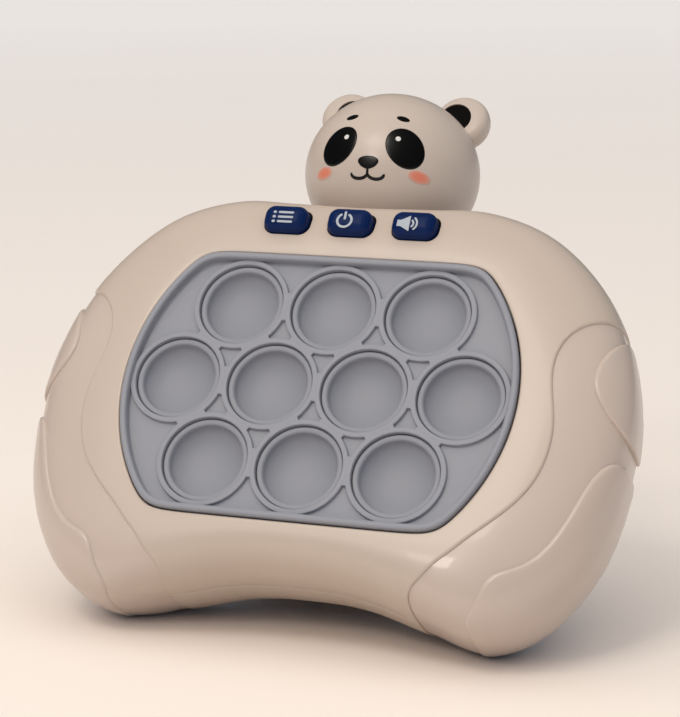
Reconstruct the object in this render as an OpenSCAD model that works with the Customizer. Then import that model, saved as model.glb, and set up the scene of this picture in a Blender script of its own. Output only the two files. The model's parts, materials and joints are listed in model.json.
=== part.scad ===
// Handheld electronic bubble pop game: a gamepad-shaped body with an animal head,
// ten sprung silicone bubbles, three function buttons and a battery housing to stand on.
// Everything is drawn in the console's own frame: X to the right, Y up the panel and
// Z out of the panel, with Z = 0 on top of the bubble rings. stand() then leans it back.

/* [Panel] */
// Distance between neighbouring bubbles
bubble_pitch = 25; // [24:0.25:26]
// Radius of the panel opening's round ends
panel_r = 52; // [51:0.25:55]
// Half height of the panel opening, to its straight edges
panel_half_h = 36.4; // [35.5:0.1:38]
// Height of the silicone rim above the bubble rings
rim_rise = 1.4; // [0.5:0.1:3]
// Width of the silicone rim
rim_w = 1.9; // [1.5:0.1:3.5]
// Depth of the mat's field below the bubble rings
field_drop = 1.1; // [0.8:0.1:2.5]
// Thickness of the mat's flange below the shell
flange_t = 1.4; // [1:0.1:2.5]
// Width of the mat's flange outside the opening
flange_w = 1.6; // [1:0.1:2.2]

/* [Bubbles] */
// Radius of a bubble's moving dish
dish_r = 9.9; // [9:0.1:10.5]
// Depth of the dish below its edge
dish_depth = 4.5; // [3:0.1:6]
// Thickness of the dish
dish_t = 1.1; // [0.8:0.1:1.6]
// Width of the ring's top
ring_w = 1.2; // [0.8:0.1:1.6]
// Depth of the ledge inside the ring
ledge_drop = 0.9; // [0.4:0.1:1.6]
// How far a bubble can be pressed
bubble_travel = 3; // [1.5:0.1:4]
// Radius of the skirt below a dish
skirt_r = 6; // [5:0.1:7]
// Length of the skirt below a dish
skirt_len = 2.3; // [1.5:0.1:4]

/* [Body] */
// Half width of the body
body_half_w = 78.8; // [77:0.2:84]
// Height of the body's top edge above the panel centre
top_h = 57.4; // [56:0.2:62]
// Depth of the grip tips below the panel centre
grip_drop = 57; // [55:0.2:61]
// Depth of the front shell
front_depth = 17.3; // [16.5:0.1:20]
// Depth of the rear shell without the battery housing
rear_depth = 27; // [26:0.2:31]
// Wall thickness of both shells
wall = 3; // [2.6:0.1:3.6]
// Depth of the grip covers below the shell's surface
grip_recess = 0.6; // [0.3:0.05:0.9]
// Thickness of the grip covers
grip_t = 1.2; // [0.8:0.05:1.5]
// Height of the raised finger pads on the grip covers
pad_rise = 0.9; // [0.3:0.1:1.2]
// Lean of the panel, back from upright
lean = 36.6; // [33:0.2:38]

/* [Buttons] */
// Distance between the function buttons
button_pitch = 17.4; // [17:0.1:18.5]
// Width of a button
button_w = 12.2; // [11:0.1:13]
// Height of a button along the panel
button_h = 7.4; // [6.4:0.1:8]
// Corner radius of a button
button_corner = 2.8; // [1.5:0.1:3.1]
// Height of the buttons above the bubble rings
button_rise = 3.4; // [2:0.1:4]
// How far a button can be pressed
button_travel = 0.8; // [0.4:0.1:1]
// Distance of the buttons below the middle of the strip over the panel
button_low = 0.7; // [0.4:0.1:1.8]

/* [Head] */
// Half width of the head
head_half_w = 23.9; // [21:0.1:26]
// Radius of the head, seen from the side
head_r = 22; // [20:0.1:23]
// Height of the head's centre above the body's top edge
head_rise = 16.4; // [15.6:0.1:18]
// Depth of the head's centre behind the bubble rings
head_back = 22.5; // [21.5:0.1:23.5]
// Wall thickness of the head
head_wall = 2; // [1.5:0.1:2.5]
// Radius of an ear
ear_r = 7.6; // [6:0.1:8]
// Distance of the ears from the head's centre plane
ear_out = 16.3; // [15:0.1:17]
// Height of the ears above the head's centre
ear_up = 17.7; // [16.5:0.1:18.5]
// Depth of the ears behind the head's centre
ear_back = 1.8; // [0.5:0.1:3]

/* [Batteries] */
// Diameter of a battery cell
cell_d = 14.2; // [13.5:0.1:14.6]
// Length of a battery cell with its nub
cell_len = 50.5; // [49:0.1:51.5]
// Length left for a contact spring
spring_len = 5.5; // [4:0.1:7]
// Depth of the battery housing behind the rear shell
housing_depth = 23; // [21:0.1:25]
// Wall thickness of the battery housing
housing_wall = 2; // [1.8:0.1:2.6]
// Thickness of the battery door
door_t = 2; // [1.5:0.1:2.4]

/* [Hidden] */
$fn = 48;

// Clearances
slide_gap = 0.3;
seat_gap = 0.1;
cover_gap = 0.15;
flange_gap = 0.5;
contact_gap = 0.08;

// Levels through the panel, from the front to the back
face_z = 0.3;
part_z = face_z - front_depth;
back_z = part_z - rear_depth;
flange_top = face_z - wall - flange_gap;
mat_bottom = flange_top - flange_t;
frame_t = 2.2;
frame_bottom = mat_bottom - frame_t;
dish_top = -ledge_drop - seat_gap;
dish_bottom = dish_top - dish_depth - dish_t;
pill_t = 0.3;
pill_bottom = dish_bottom - skirt_len - pill_t;
pad_t = 0.12;
board_top = pill_bottom - bubble_travel - contact_gap - pad_t;
board_t = 1.6;
board_bottom = board_top - board_t;

// Bubble places: rows of three, four and three
row_rise = bubble_pitch * sin(60);
bubble_at = concat(
  [for (i = [-1 : 1]) [i * bubble_pitch, row_rise]],
  [for (i = [-1.5 : 1.5]) [i * bubble_pitch, 0]],
  [for (i = [-1 : 1]) [i * bubble_pitch, -row_rise]]);
bubble_names = [for (i = [1 : 10]) str("bubble_", i)];
pill_names = [for (i = [1 : 10]) str("bubble_contact_", i)];
ring_r = bubble_pitch / 2 + 0.2;
step_r = ring_r - ring_w;
hole_r = dish_r + slide_gap;
skirt_t = 1.3;

// Outline of the body at its widest section, as shares of its half width and heights,
// from the middle of the top edge round the right side to the middle of the bottom edge
outline_shape = [
  [0, 0.97], [0.23, 0.976], [0.444, 0.975], [0.647, 0.884], [0.812, 0.698], [0.933, 0.436],
  [0.997, 0.105], [0.997, -0.21], [0.945, -0.561], [0.812, -0.86], [0.635, -1], [0.419, -0.93],
  [0.203, -0.851], [0, -0.833]];
half_n = len(outline_shape) - 1;
loop_n = 2 * half_n;
outline_half = [for (p = outline_shape) [p[0] * body_half_w, p[1] * (p[1] > 0 ? top_h : grip_drop)]];
outline_loop = concat(
  outline_half,
  [for (i = [half_n - 1 : -1 : 1]) [-outline_half[i][0], outline_half[i][1]]]);

// Section of the shells: a rounded quarter from the widest line to the panel or to the flat back
section_power = 2.5;
top_flatness = 1;
rear_round = 0.42;

// Grip line: the range of outline positions that it spans and its reach round the section,
// to the front in an S-shaped wave and evenly to the back
grip_mid = 7.95;
grip_half = 3.05;
grip_front_deg = 77.3;
grip_rear_deg = 58;
grip_top_power = 5;
grip_low_power = 3.4;
line_min_deg = 8;
step_deg = 1;
wave_deg = 5.3;
wave_from = 8.33;
wave_len = 4.3;
seat_depth = grip_recess + grip_t + cover_gap;

// Raised pads on a grip: middle and half length along the outline, reach to the front and back,
// roundness, and the bulge of the front edge with its middle and length
upper_pad = [5.86, 0.76, 53, 40, 1.9, 0, 5.86, 1];
lower_pad = [8.53, 1.63, 47, 44, 3.5, 12, 9.25, 0.5];
pad_edge = 0.16;

// Columns of the shells, as outline positions marked 1 where the grip cover lies
grip_from = grip_mid - grip_half;
grip_to = grip_mid + grip_half;
column_gap = 0.03;
tiny = 0.00001;
top_columns = 16;
grip_columns = 24;
bottom_columns = 8;
right_columns = concat(
  [for (i = [0 : top_columns - 1]) [grip_from * i / top_columns, 0]],
  [[grip_from - column_gap, 0]],
  [for (i = [0 : grip_columns]) [grip_mid + grip_half * sin(-88 + 176 * i / grip_columns), 1]],
  [[grip_to + column_gap, 0]],
  [for (i = [1 : bottom_columns]) [grip_to + (half_n - grip_to) * i / bottom_columns, 0]]);
shell_columns = concat(
  right_columns,
  [for (i = [len(right_columns) - 2 : -1 : 1]) [loop_n - right_columns[i][0], right_columns[i][1]]]);

// Screws that hold the two shells together
case_screw_at = [[57, 11], [49.5, -32], [36.5, 44.5]];
screw_r = 1.2;
screw_bore = screw_r + 0.05;
screw_pass = screw_r + 0.3;
screw_head_r = 2.5;
screw_head_t = 1.8;
screw_room = 0.4;
case_boss_r = 3.4;
boss_root = 0.8;
case_screw_grip = 8;
case_screw_len = 15;
counterbore_r = screw_head_r + 0.4;

// Frame behind the mat, clamped on four bosses of the front shell
frame_tab_at = [[29, panel_half_h + 4.6], [29, -panel_half_h - 4.6]];
frame_boss_r = 2.8;
frame_tab_r = 4.2;
frame_boss_bottom = frame_bottom - 0.6;
frame_tab_t = 2;
frame_screw_grip = 4;
frame_hole_r = hole_r + 0.5;

// Main board, on four posts of the frame that stand between the bubbles
post_at = [bubble_pitch, row_rise / 3];
post_r = 2.8;
board_inset = 3;
board_screw_grip = 5;
led_w = 3.4;
led_h = 1.4;
contact_in_r = skirt_r - skirt_t - 0.1;
chip_at = [-5, 4];
chip_w = 10;
chip_t = 1.6;
socket_w = 4.5;

// Head, its tongue into the body and the bosses that hold it
head_y = top_h + head_rise;
head_z = -head_back;
head_gap = 0.3;
ear_t = 3.4;
ear_hollow_r = 0.58 * ear_r;
ear_hollow_in = 0.18 * ear_r;
ear_hollow_depth = 1.5;
tongue_half_w = 10;
tongue_t = 2.5;
tongue_z = head_z - 6.5;
tongue_bottom = head_y - head_r - 8;
tongue_screw_at = [6.5, tongue_bottom + 3.4];
tongue_screw_grip = 4.5;

// Battery housing: three cells lying across the back
cell_gap = 1.1;
cell_pitch = cell_d + cell_gap;
contact_t = 0.4;
cavity_half_w = (cell_len + spring_len) / 2 + contact_t;
cavity_half_h = 1.5 * cell_pitch + 0.35;
housing_half_w = cavity_half_w + housing_wall;
housing_half_h = cavity_half_h + housing_wall;
housing_back = back_z - housing_depth;
housing_corner = 4;
cell_z = back_z - 0.5 - cell_d / 2;
foot_strip = 1;
rebate = 0.9;
door_gap = 0.3;
door_inner = housing_back + door_t;
door_rib_t = 1.6;
lug_r = 3.8;
lug_out = 2.2;
door_screw_grip = 3;
tab_w = 3;

// Lean of the console and the floor that it stands on
tilt = 90 - lean;
foot_flat = 0.35;

button_names = ["menu", "power", "sound"];

// Smooth curve through four neighbouring points
function curve(a, b, c, d, f) =
  0.5 * (2 * b + (c - a) * f + (2 * a - 5 * b + 4 * c - d) * f * f + (3 * b - a - 3 * c + d) * f * f * f);

// Point of the closed outline at position t, where each whole number is one of its points
function outline(t) =
  let (i = floor(t), f = t - i, n = loop_n)
  curve(outline_loop[(i + n - 1) % n], outline_loop[i % n], outline_loop[(i + 1) % n],
        outline_loop[(i + 2) % n], f);

// Radius of the panel opening in direction a, grown by g: a circle cut by two straight edges
corner_power = 28;
function opening_r(a, g) =
  pow(pow(1 / (panel_r + g), corner_power) + pow(abs(sin(a)) / (panel_half_h + g), corner_power),
      -1 / corner_power);
function opening_points(g) = [for (a = [0 : 3 : 357]) opening_r(a, g) * [cos(a), sin(a)]];

// Point of the body's surface at outline position t and section angle f, sunk by inset.
// The angle runs from the widest line, at 0, to the panel at 90 or to the flat back at -90.
function section_exponent(y, f) =
  2 / (section_power + (f >= 0 ? top_flatness * pow(max(0, y / top_h), 6) : 0));
function skin(t, f, inset) =
  let (
    q = outline(t),
    a = atan2(q[1], q[0]),
    r = norm(q),
    r_in = f >= 0 ? opening_r(a, 0) : r * (1 - rear_round),
    depth = f >= 0 ? front_depth - inset : inset - rear_depth,
    e = section_exponent(q[1], f),
    out = r_in + (r - r_in - inset) * pow(max(0, cos(f)), e))
  [out * cos(a), out * sin(a), part_z + depth * pow(abs(sin(f)), e)];

// Level of the shells' inner surface over the point p of the panel plane, in front (1) or behind (-1)
outline_samples = [for (t = [0 : 0.1 : half_n]) outline(t)];
function edge_at(p) =
  let (
    a = atan2(p[1], p[0]),
    off = [for (q = outline_samples) abs(atan2(q[1], q[0]) - a)],
    best = min(off))
  [for (i = [0 : len(off) - 1]) if (off[i] == best) outline_samples[i]][0];
function inner_z(p, side) =
  let (
    edge = edge_at(p),
    r = norm(edge),
    r_in = side > 0 ? opening_r(atan2(p[1], p[0]), 0) : r * (1 - rear_round),
    power = 2 / section_exponent(edge[1], side),
    share = min(1, max(0, (norm(p) - r_in) / (r - r_in - wall))))
  part_z + side * ((side > 0 ? front_depth : rear_depth) - wall) * pow(1 - pow(share, power), 1 / power);

// Function buttons and their board, below the slope of the shell's inner surface
button_y = (panel_half_h + top_h) / 2 - button_low;
button_flange_t = 1.2;
button_flange_edge = 1.2;
button_flange_gap = 0.6;
button_bevel = 0.8;
lap = 0.1;
flange_high = button_y + button_h / 2 + button_flange_edge;
flange_end = button_pitch + button_w / 2 + button_flange_edge;
flange_room = min(inner_z([0, flange_high], 1), inner_z([flange_end, flange_high], 1));
button_flange_top = flange_room - button_flange_gap;
button_flange_bottom = button_flange_top - button_flange_t;
stem_r = 1.7;
stem_len = 3;
switch_w = 6.2;
switch_h = 3.4;
switch_top = button_flange_bottom - 1.6;
button_board_top = switch_top - switch_h;
button_board_t = 1.6;
button_board_half_w = 33;
button_board_h = 10;
button_screw_grip = 3.4;
button_board_y = button_y - 0.45 * button_board_h;
ribbon_w = 12;
ribbon_t = 0.6;
ribbon_land = 3;
ribbon_sag = 2.6;
board_screw_up = 2.6;
board_screw_out = 29.5;
board_screw_y = max(button_y + board_screw_up, frame_tab_at[0][1] + screw_head_r + frame_boss_r + slide_gap);
button_board_screw_at = [board_screw_out, board_screw_y];

// Speaker, on the flat of the back beside the housing
speaker_at = [44, -6];
speaker_r = 11.3;
speaker_rib_w = 1.5;
speaker_rest = 0.25;
speaker_front = inner_z([speaker_at[0] + speaker_r, speaker_at[1]], -1) + speaker_rest;
speaker_flange_t = 1;
speaker_basket_r = 9;
speaker_basket_h = 5;
magnet_r = 6;
magnet_h = 4;
grille_pitch = 3.6;
grille_r = 0.9;
speaker_boss_r = 2.1;
speaker_screw_out = speaker_r + speaker_boss_r + seat_gap;
speaker_screw_len = 3.4;

// Reach of a lens-shaped area at outline position t, from 1 in its middle to 0 at its ends
function lens(t, mid, half, power) = pow(max(0, 1 - pow(abs((t - mid) / half), power)), 1 / power);
function grip_reach(t, side) =
  side > 0 ? grip_front_deg + wave_deg * sin(360 * (t - wave_from) / wave_len) : grip_rear_deg;
function grip_line(t, inside, side) =
  let (
    power = t < grip_mid ? grip_top_power : grip_low_power,
    reach = grip_reach(t, side) * lens(t, grip_mid, grip_half, power))
  inside == 1 ? max(line_min_deg, reach) : line_min_deg;

// Height of a raised pad, from 0 at its edge to 1 on top
function pad_height(t, f, pad) =
  let (
    bulge = pad[5] * exp(-pow((t - pad[6]) / pad[7], 2)),
    reach = f >= 0 ? pad[2] + bulge : pad[3],
    rho = pow(pow(abs(t - pad[0]) / pad[1], pad[4]) + pow(abs(f) / reach, pad[4]), 1 / pad[4]))
  min(1, max(0, (1 - rho) / pad_edge));

// Position of the grip line on a column of the mirrored half
function folded(t) = t > half_n ? loop_n - t : t;

// Faces of a grid of points whose rows close on themselves
function grid_faces(rows, cols, closed) =
  [for (i = [0 : rows - (closed ? 1 : 2)]) for (j = [0 : cols - 1])
    let (k = (j + 1) % cols, m = (i + 1) % rows)
    each [[i * cols + j, i * cols + k, m * cols + k], [i * cols + j, m * cols + k, m * cols + j]]];
function flipped(faces) = [for (f = faces) [f[0], f[2], f[1]]];
function flat_list(rows) = [for (r = rows) each r];
function rounded_rect(w, h, r) =
  [for (q = [0 : 3]) for (a = [0 : 15 : 90])
    let (sx = (q == 0 || q == 3) ? 1 : -1, sy = q < 2 ? 1 : -1)
    [sx * (w / 2 - r) + r * cos(90 * q + a), sy * (h / 2 - r) + r * sin(90 * q + a)]];

// Grip surface: one loop of points round the cover's section at each column
grip_rows = 13;
function grip_loop(t) =
  let (
    front = grip_line(t, 1, 1),
    rear = grip_line(t, 1, -1),
    angles = [for (i = [0 : grip_rows - 1]) -rear + (front + rear) * i / (grip_rows - 1)])
  concat(
    [for (f = angles)
      skin(t, f, grip_recess - pad_rise * max(pad_height(t, f, upper_pad), pad_height(t, f, lower_pad)))],
    [for (i = [grip_rows - 1 : -1 : 0]) skin(t, angles[i], grip_recess + grip_t)]);
grip_ends = 0.02;
grip_loops = [for (i = [0 : grip_columns])
  grip_loop(grip_mid + (grip_half - grip_ends) * sin(-88 + 176 * i / grip_columns))];

// Outer surface of the front shell above the grip line, row by row
seat_rows = 4;
skin_rows = 6;
inner_rows = 6;
function line_of(column, side) = grip_line(folded(column[0]), column[1], side);
front_skin = [for (i = [0 : skin_rows]) [for (c = shell_columns)
  let (from = line_of(c, 1) + step_deg)
  skin(c[0], from + (90 - from) * i / skin_rows, 0)]];

// Heights and depths once the console leans back, for the floor and the origin
function height_of(p) = p[1] * sin(tilt) + p[2] * cos(tilt);
function depth_of(p) = p[1] * cos(tilt) - p[2] * sin(tilt);
grip_points = flat_list(grip_loops);
ground = min([for (p = grip_points) height_of(p)]) + foot_flat;
front_y = min([for (p = concat(grip_points, flat_list(front_skin))) depth_of(p)]);
back_y = depth_of([0, head_y, head_z]) + head_r;

// Height of the battery housing, so that its lower back edge rests on the floor
housing_y = (ground - (housing_back + foot_strip) * cos(tilt)) / sin(tilt) + housing_half_h;
lug_y = housing_y + housing_half_h + lug_out;

// Leads inside the body, along points chosen by hand
lead_r = 0.7;
lead_gap = 0.6;
lead_run = 3;
socket_h = 3;
socket_at = [[18, -25], [11, -25], [26, 22]];
tab_top = back_z + wall + 3;
terminal_at = [speaker_at[0], speaker_at[1] + speaker_basket_r - 1, speaker_front + speaker_basket_h];
function lead_end(at) =
  let (z = board_bottom - socket_h)
  [[at[0], at[1], z - lead_run], [at[0], at[1], z - lead_gap]];
function lead_start(at) = [at + [0, 0, lead_gap], at + [0, 0, lead_run - 0.5]];
plus_lead = concat(
  lead_start([cavity_half_w - contact_t / 2, housing_y - cell_pitch, tab_top]),
  [[27, -18, -30], [21, -22, -25]], lead_end(socket_at[0]));
minus_lead = concat(
  lead_start([contact_t / 2 - cavity_half_w, housing_y + cell_pitch, tab_top]),
  [[-22, 4, -31], [-6, -12, -27]], lead_end(socket_at[1]));
speaker_lead = concat(lead_start(terminal_at), [[40, 8, -28], [33, 16, -23]], lead_end(socket_at[2]));

module stand() {
  translate([0, -(front_y + back_y) / 2, -ground]) rotate([tilt, 0, 0]) children();
}

module both_sides() {
  children();
  mirror([1, 0, 0]) children();
}

module below_floor() {
  side = 4 * body_half_w;
  rotate([-tilt, 0, 0]) translate([-side / 2, -side / 2, ground - side]) cube(side);
}

// A cylinder between two levels
module post(at, r, from, to) {
  translate([at[0], at[1], from]) cylinder(r = r, h = to - from);
}

// A pan-head screw whose head sits below level z and whose shank goes up
module screw(at, z, length) {
  post(at, screw_head_r, z - screw_head_t, z);
  post(at, screw_r, z - 0.1, z + length);
}

// A flat plate with the panel's outline, grown by g
module panel_plate(g, from, to) {
  translate([0, 0, from]) linear_extrude(to - from) polygon(opening_points(g));
}

// A round tube along a list of points
tube_sides = 8;
function route(points, steps) =
  let (n = len(points))
  concat(
    [for (i = [0 : n - 2]) for (k = [0 : steps - 1])
      curve(points[max(i - 1, 0)], points[i], points[i + 1], points[min(i + 2, n - 1)], k / steps)],
    [points[n - 1]]);
function unit(v) = v / norm(v);
module tube(path, r, sides) {
  n = len(path);
  rings = [for (i = [0 : n - 1])
    let (
      ahead = unit(path[min(i + 1, n - 1)] - path[max(i - 1, 0)]),
      side = unit(cross(ahead, abs(ahead[0]) > 0.8 ? [0, 0, 1] : [1, 0, 0])),
      over = cross(ahead, side))
    [for (k = [0 : sides - 1]) path[i] + r * (cos(360 * k / sides) * side + sin(360 * k / sides) * over)]];
  ends = [[for (k = [0 : sides - 1]) k], [for (k = [sides - 1 : -1 : 0]) (n - 1) * sides + k]];
  polyhedron(flat_list(rings), concat(flipped(grid_faces(n, sides, false)), ends));
}

// The head's solid, and half of it in front of (1) or behind (-1) its middle
function head_profile(g) = [for (a = [-90 : 7.5 : 90]) [(head_r + g) * cos(a), (head_half_w + g) * sin(a)]];
module head_solid(g) {
  translate([0, head_y, head_z]) rotate([0, 90, 0]) rotate_extrude() polygon(head_profile(g));
}
module head_half(side) {
  translate([0, head_y, head_z]) rotate([90 * side, 0, 0]) rotate([0, 90, 0]) rotate_extrude(angle = 180)
    difference() {
      polygon(head_profile(0));
      polygon(head_profile(-head_wall));
    }
}

module button_outline(edge) {
  polygon(rounded_rect(button_w + 2 * edge, button_h + 2 * edge, button_corner + min(edge, 0.5)));
}

// Front half of the body, with the panel opening and the button holes
module front_shell() {
  rows = concat(
    [for (i = [0 : seat_rows]) [for (c = shell_columns)
      skin(c[0], line_of(c, 1) * i / seat_rows, c[1] * seat_depth)]],
    front_skin,
    [for (i = [inner_rows : -1 : 0]) [for (c = shell_columns) skin(c[0], 90 * i / inner_rows, wall)]]);
  color("blanchedalmond") difference() {
    union() {
      polyhedron(flat_list(rows), grid_faces(len(rows), len(shell_columns), true));
      both_sides() {
        for (p = case_screw_at) post(p, case_boss_r, part_z, inner_z(p, 1) + boss_root);
        for (p = frame_tab_at) post(p, frame_boss_r, frame_boss_bottom, inner_z(p, 1) + boss_root);
        post(button_board_screw_at, frame_boss_r, button_board_top,
          inner_z(button_board_screw_at, 1) + boss_root);
      }
    }
    head_solid(head_gap);
    for (i = [-1 : 1]) translate([i * button_pitch, button_y, part_z]) linear_extrude(front_depth + 5)
      button_outline(slide_gap);
    both_sides() {
      for (p = case_screw_at)
        post(p, screw_bore, part_z - 1, part_z + case_screw_len - case_screw_grip + screw_room);
      for (p = frame_tab_at)
        post(p, screw_bore, frame_boss_bottom - 1, frame_boss_bottom + frame_screw_grip + screw_room);
      post(button_board_screw_at, screw_bore, button_board_top - 1, inner_z(button_board_screw_at, 1));
    }
  }
}

// Rear half of the body, with the open battery housing and the speaker's holes
module rear_shell() {
  rows = concat(
    [for (i = [skin_rows : -1 : 0]) [for (c = shell_columns)
      let (from = line_of(c, -1) + step_deg)
      skin(c[0], -from - (90 - from) * i / skin_rows, 0)]],
    [for (i = [seat_rows : -1 : 0]) [for (c = shell_columns)
      skin(c[0], -line_of(c, -1) * max(i / seat_rows, tiny), c[1] * seat_depth)]],
    [for (i = [0 : inner_rows]) [for (c = shell_columns) skin(c[0], -90 * max(i / inner_rows, tiny), wall)]]);
  cols = len(shell_columns);
  last = (len(rows) - 1) * cols;
  caps = [[for (j = [cols - 1 : -1 : 0]) j], [for (j = [0 : cols - 1]) last + j]];
  color("blanchedalmond") difference() {
    union() {
      polyhedron(flat_list(rows), concat(grid_faces(len(rows), cols, false), caps));
      translate([0, housing_y, housing_back]) linear_extrude(housing_depth + wall / 2)
        polygon(rounded_rect(2 * housing_half_w, 2 * housing_half_h, housing_corner));
      post([0, lug_y], lug_r, door_inner, back_z + wall / 2);
      both_sides() {
        for (p = case_screw_at) post(p, counterbore_r + 1.2, inner_z(p, -1) - boss_root, part_z);
        post(tongue_screw_at, frame_boss_r, inner_z(tongue_screw_at, -1) - boss_root, tongue_z - tongue_t / 2);
      }
      for (s = [-1, 1]) post(speaker_at + [0, s * speaker_screw_out], speaker_boss_r,
        back_z + wall / 2, speaker_front + speaker_flange_t);
      translate([speaker_at[0], speaker_at[1], back_z + wall / 2]) difference() {
        cylinder(r = speaker_r, h = speaker_front - back_z - wall / 2);
        translate([0, 0, -1]) cylinder(r = speaker_r - speaker_rib_w, h = speaker_front - back_z + 2);
      }
    }
    head_solid(head_gap);
    intersection() {
      tongue(head_gap);
      translate([-body_half_w, tongue_screw_at[1] + frame_boss_r, back_z]) cube(2 * body_half_w);
    }
    translate([0, housing_y, housing_back - 1]) linear_extrude(housing_depth + 1)
      polygon(rounded_rect(2 * cavity_half_w, 2 * cavity_half_h, housing_corner / 2));
    translate([0, 0, housing_back - 1]) linear_extrude(door_t + 1) door_outline(0);
    post([0, lug_y], screw_pass, door_inner - 1, door_inner + door_screw_grip + screw_room);
    for (s = [-1, 1])
      translate([s * (cavity_half_w - contact_t / 2), housing_y - s * cell_pitch, back_z + wall / 2])
        cube([contact_t + 0.6, tab_w + 0.6, wall + 2], center = true);
    for (i = [-2 : 2]) for (j = [-2 : 2]) if (abs(i + j) < 3)
      post(speaker_at + grille_pitch * [i + j / 2, j * sin(60)], grille_r, back_z - 1, back_z + wall + 1);
    for (s = [-1, 1]) post(speaker_at + [0, s * speaker_screw_out], screw_bore,
      speaker_front + speaker_flange_t - speaker_screw_len - screw_room,
      speaker_front + speaker_flange_t + 1);
    both_sides() {
      for (p = case_screw_at) {
        post(p, screw_pass, part_z - case_screw_grip - 1, part_z + 1);
        post(p, counterbore_r, back_z - 1, part_z - case_screw_grip);
      }
      post(tongue_screw_at, screw_bore, tongue_z - tongue_t / 2 - tongue_screw_grip - screw_room, tongue_z);
    }
    below_floor();
  }
}

// Glossy side covers that wrap from the front to the back, each with two raised finger pads
module grip_cover() {
  cols = 2 * grip_rows;
  last = grip_columns * cols;
  first_cap = [for (i = [0 : grip_rows - 2])
    each [[i, i + 1, cols - 1 - i], [i + 1, cols - 2 - i, cols - 1 - i]]];
  last_cap = [for (f = flipped(first_cap)) [for (v = f) v + last]];
  color("antiquewhite") difference() {
    polyhedron(grip_points, concat(flipped(grid_faces(grip_columns + 1, cols, false)), first_cap, last_cap));
    below_floor();
  }
}
module left_grip() {
  mirror([1, 0, 0]) grip_cover();
}
module right_grip() {
  grip_cover();
}

// Hollow head in two halves: the rear one carries the ears and the tongue
module ear(side) {
  profile = [[0, -ear_t], [0.5 * ear_r, -ear_t], [0.82 * ear_r, -0.78 * ear_t], [0.96 * ear_r, -0.4 * ear_t],
    [ear_r, 0], [0.96 * ear_r, 0.4 * ear_t], [0.86 * ear_r, 0.78 * ear_t], [0.7 * ear_r, ear_t], [0, ear_t]];
  translate([side * ear_out, head_y + ear_up, head_z - ear_back]) difference() {
    rotate_extrude() polygon(profile);
    post([-side * ear_hollow_in, 0], ear_hollow_r, ear_t - ear_hollow_depth, ear_t + 1);
  }
}
module tongue(g) {
  top = head_y - head_r + head_wall + 0.6;
  translate([-tongue_half_w - g, tongue_bottom - g, tongue_z - tongue_t / 2 - g])
    cube([2 * (tongue_half_w + g), top - tongue_bottom + 2 * g, tongue_t + 2 * g]);
}
module head_front() {
  color("ivory") head_half(1);
}
module head_rear() {
  color("ivory") difference() {
    union() {
      head_half(-1);
      for (side = [-1, 1]) ear(side);
      tongue(0);
    }
    head_solid(-head_wall);
    intersection() {
      head_solid(seat_gap);
      translate([-2 * head_r, head_y - 2 * head_r, head_z]) cube(4 * head_r);
    }
    both_sides() post(tongue_screw_at, screw_pass, tongue_z - 5, tongue_z + 5);
  }
}
module head_screws() {
  color("silver") both_sides() translate([0, 0, 2 * tongue_z + tongue_t]) mirror([0, 0, 1])
    screw(tongue_screw_at, tongue_z + tongue_t / 2, tongue_t + tongue_screw_grip);
}

// Silicone mat: a flange under the shell, a raised rim, the field and ten stepped rings
module bubble_mat() {
  color("lightslategray") difference() {
    union() {
      panel_plate(flange_w, mat_bottom, flange_top);
      panel_plate(-slide_gap, mat_bottom, -field_drop);
      difference() {
        panel_plate(-slide_gap, -field_drop - 0.5, rim_rise);
        panel_plate(-slide_gap - rim_w, -field_drop - 1, rim_rise + 1);
      }
      for (p = bubble_at) translate(p) rotate_extrude()
        polygon([[hole_r - 1, mat_bottom], [ring_r - 0.2, mat_bottom], [ring_r, -field_drop],
          [ring_r - 0.1, -0.3], [ring_r - 0.4, 0], [step_r + 0.3, 0], [step_r, -0.3],
          [step_r - 0.1, -ledge_drop], [hole_r - 1, -ledge_drop]]);
    }
    for (p = bubble_at) post(p, hole_r, mat_bottom - 1, rim_rise);
  }
}

// A concave bubble: a round dish with a skirt that carries a contact ring to the board
dish_exponent = 0.72;
function dish_curve(r, depth) = [for (a = [0 : 7.5 : 90])
  [a == 90 ? 0 : r * pow(cos(a), dish_exponent), dish_top - depth * pow(sin(a), dish_exponent)]];
module bubble(i) {
  top = dish_curve(dish_r - dish_t, dish_depth);
  under = dish_curve(dish_r, dish_depth + dish_t);
  color("lightslategray") translate(bubble_at[i]) rotate_extrude() union() {
    polygon(concat(top, [for (k = [len(under) - 1 : -1 : 0]) under[k]]));
    translate([skirt_r - skirt_t, dish_bottom - skirt_len]) square([skirt_t, skirt_len + dish_t / 2]);
  }
}
module bubble_contact(i) {
  color("dimgray") translate([bubble_at[i][0], bubble_at[i][1], pill_bottom]) difference() {
    cylinder(r = skirt_r, h = pill_t);
    translate([0, 0, -1]) cylinder(r = skirt_r - skirt_t, h = pill_t + 2);
  }
}

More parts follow.
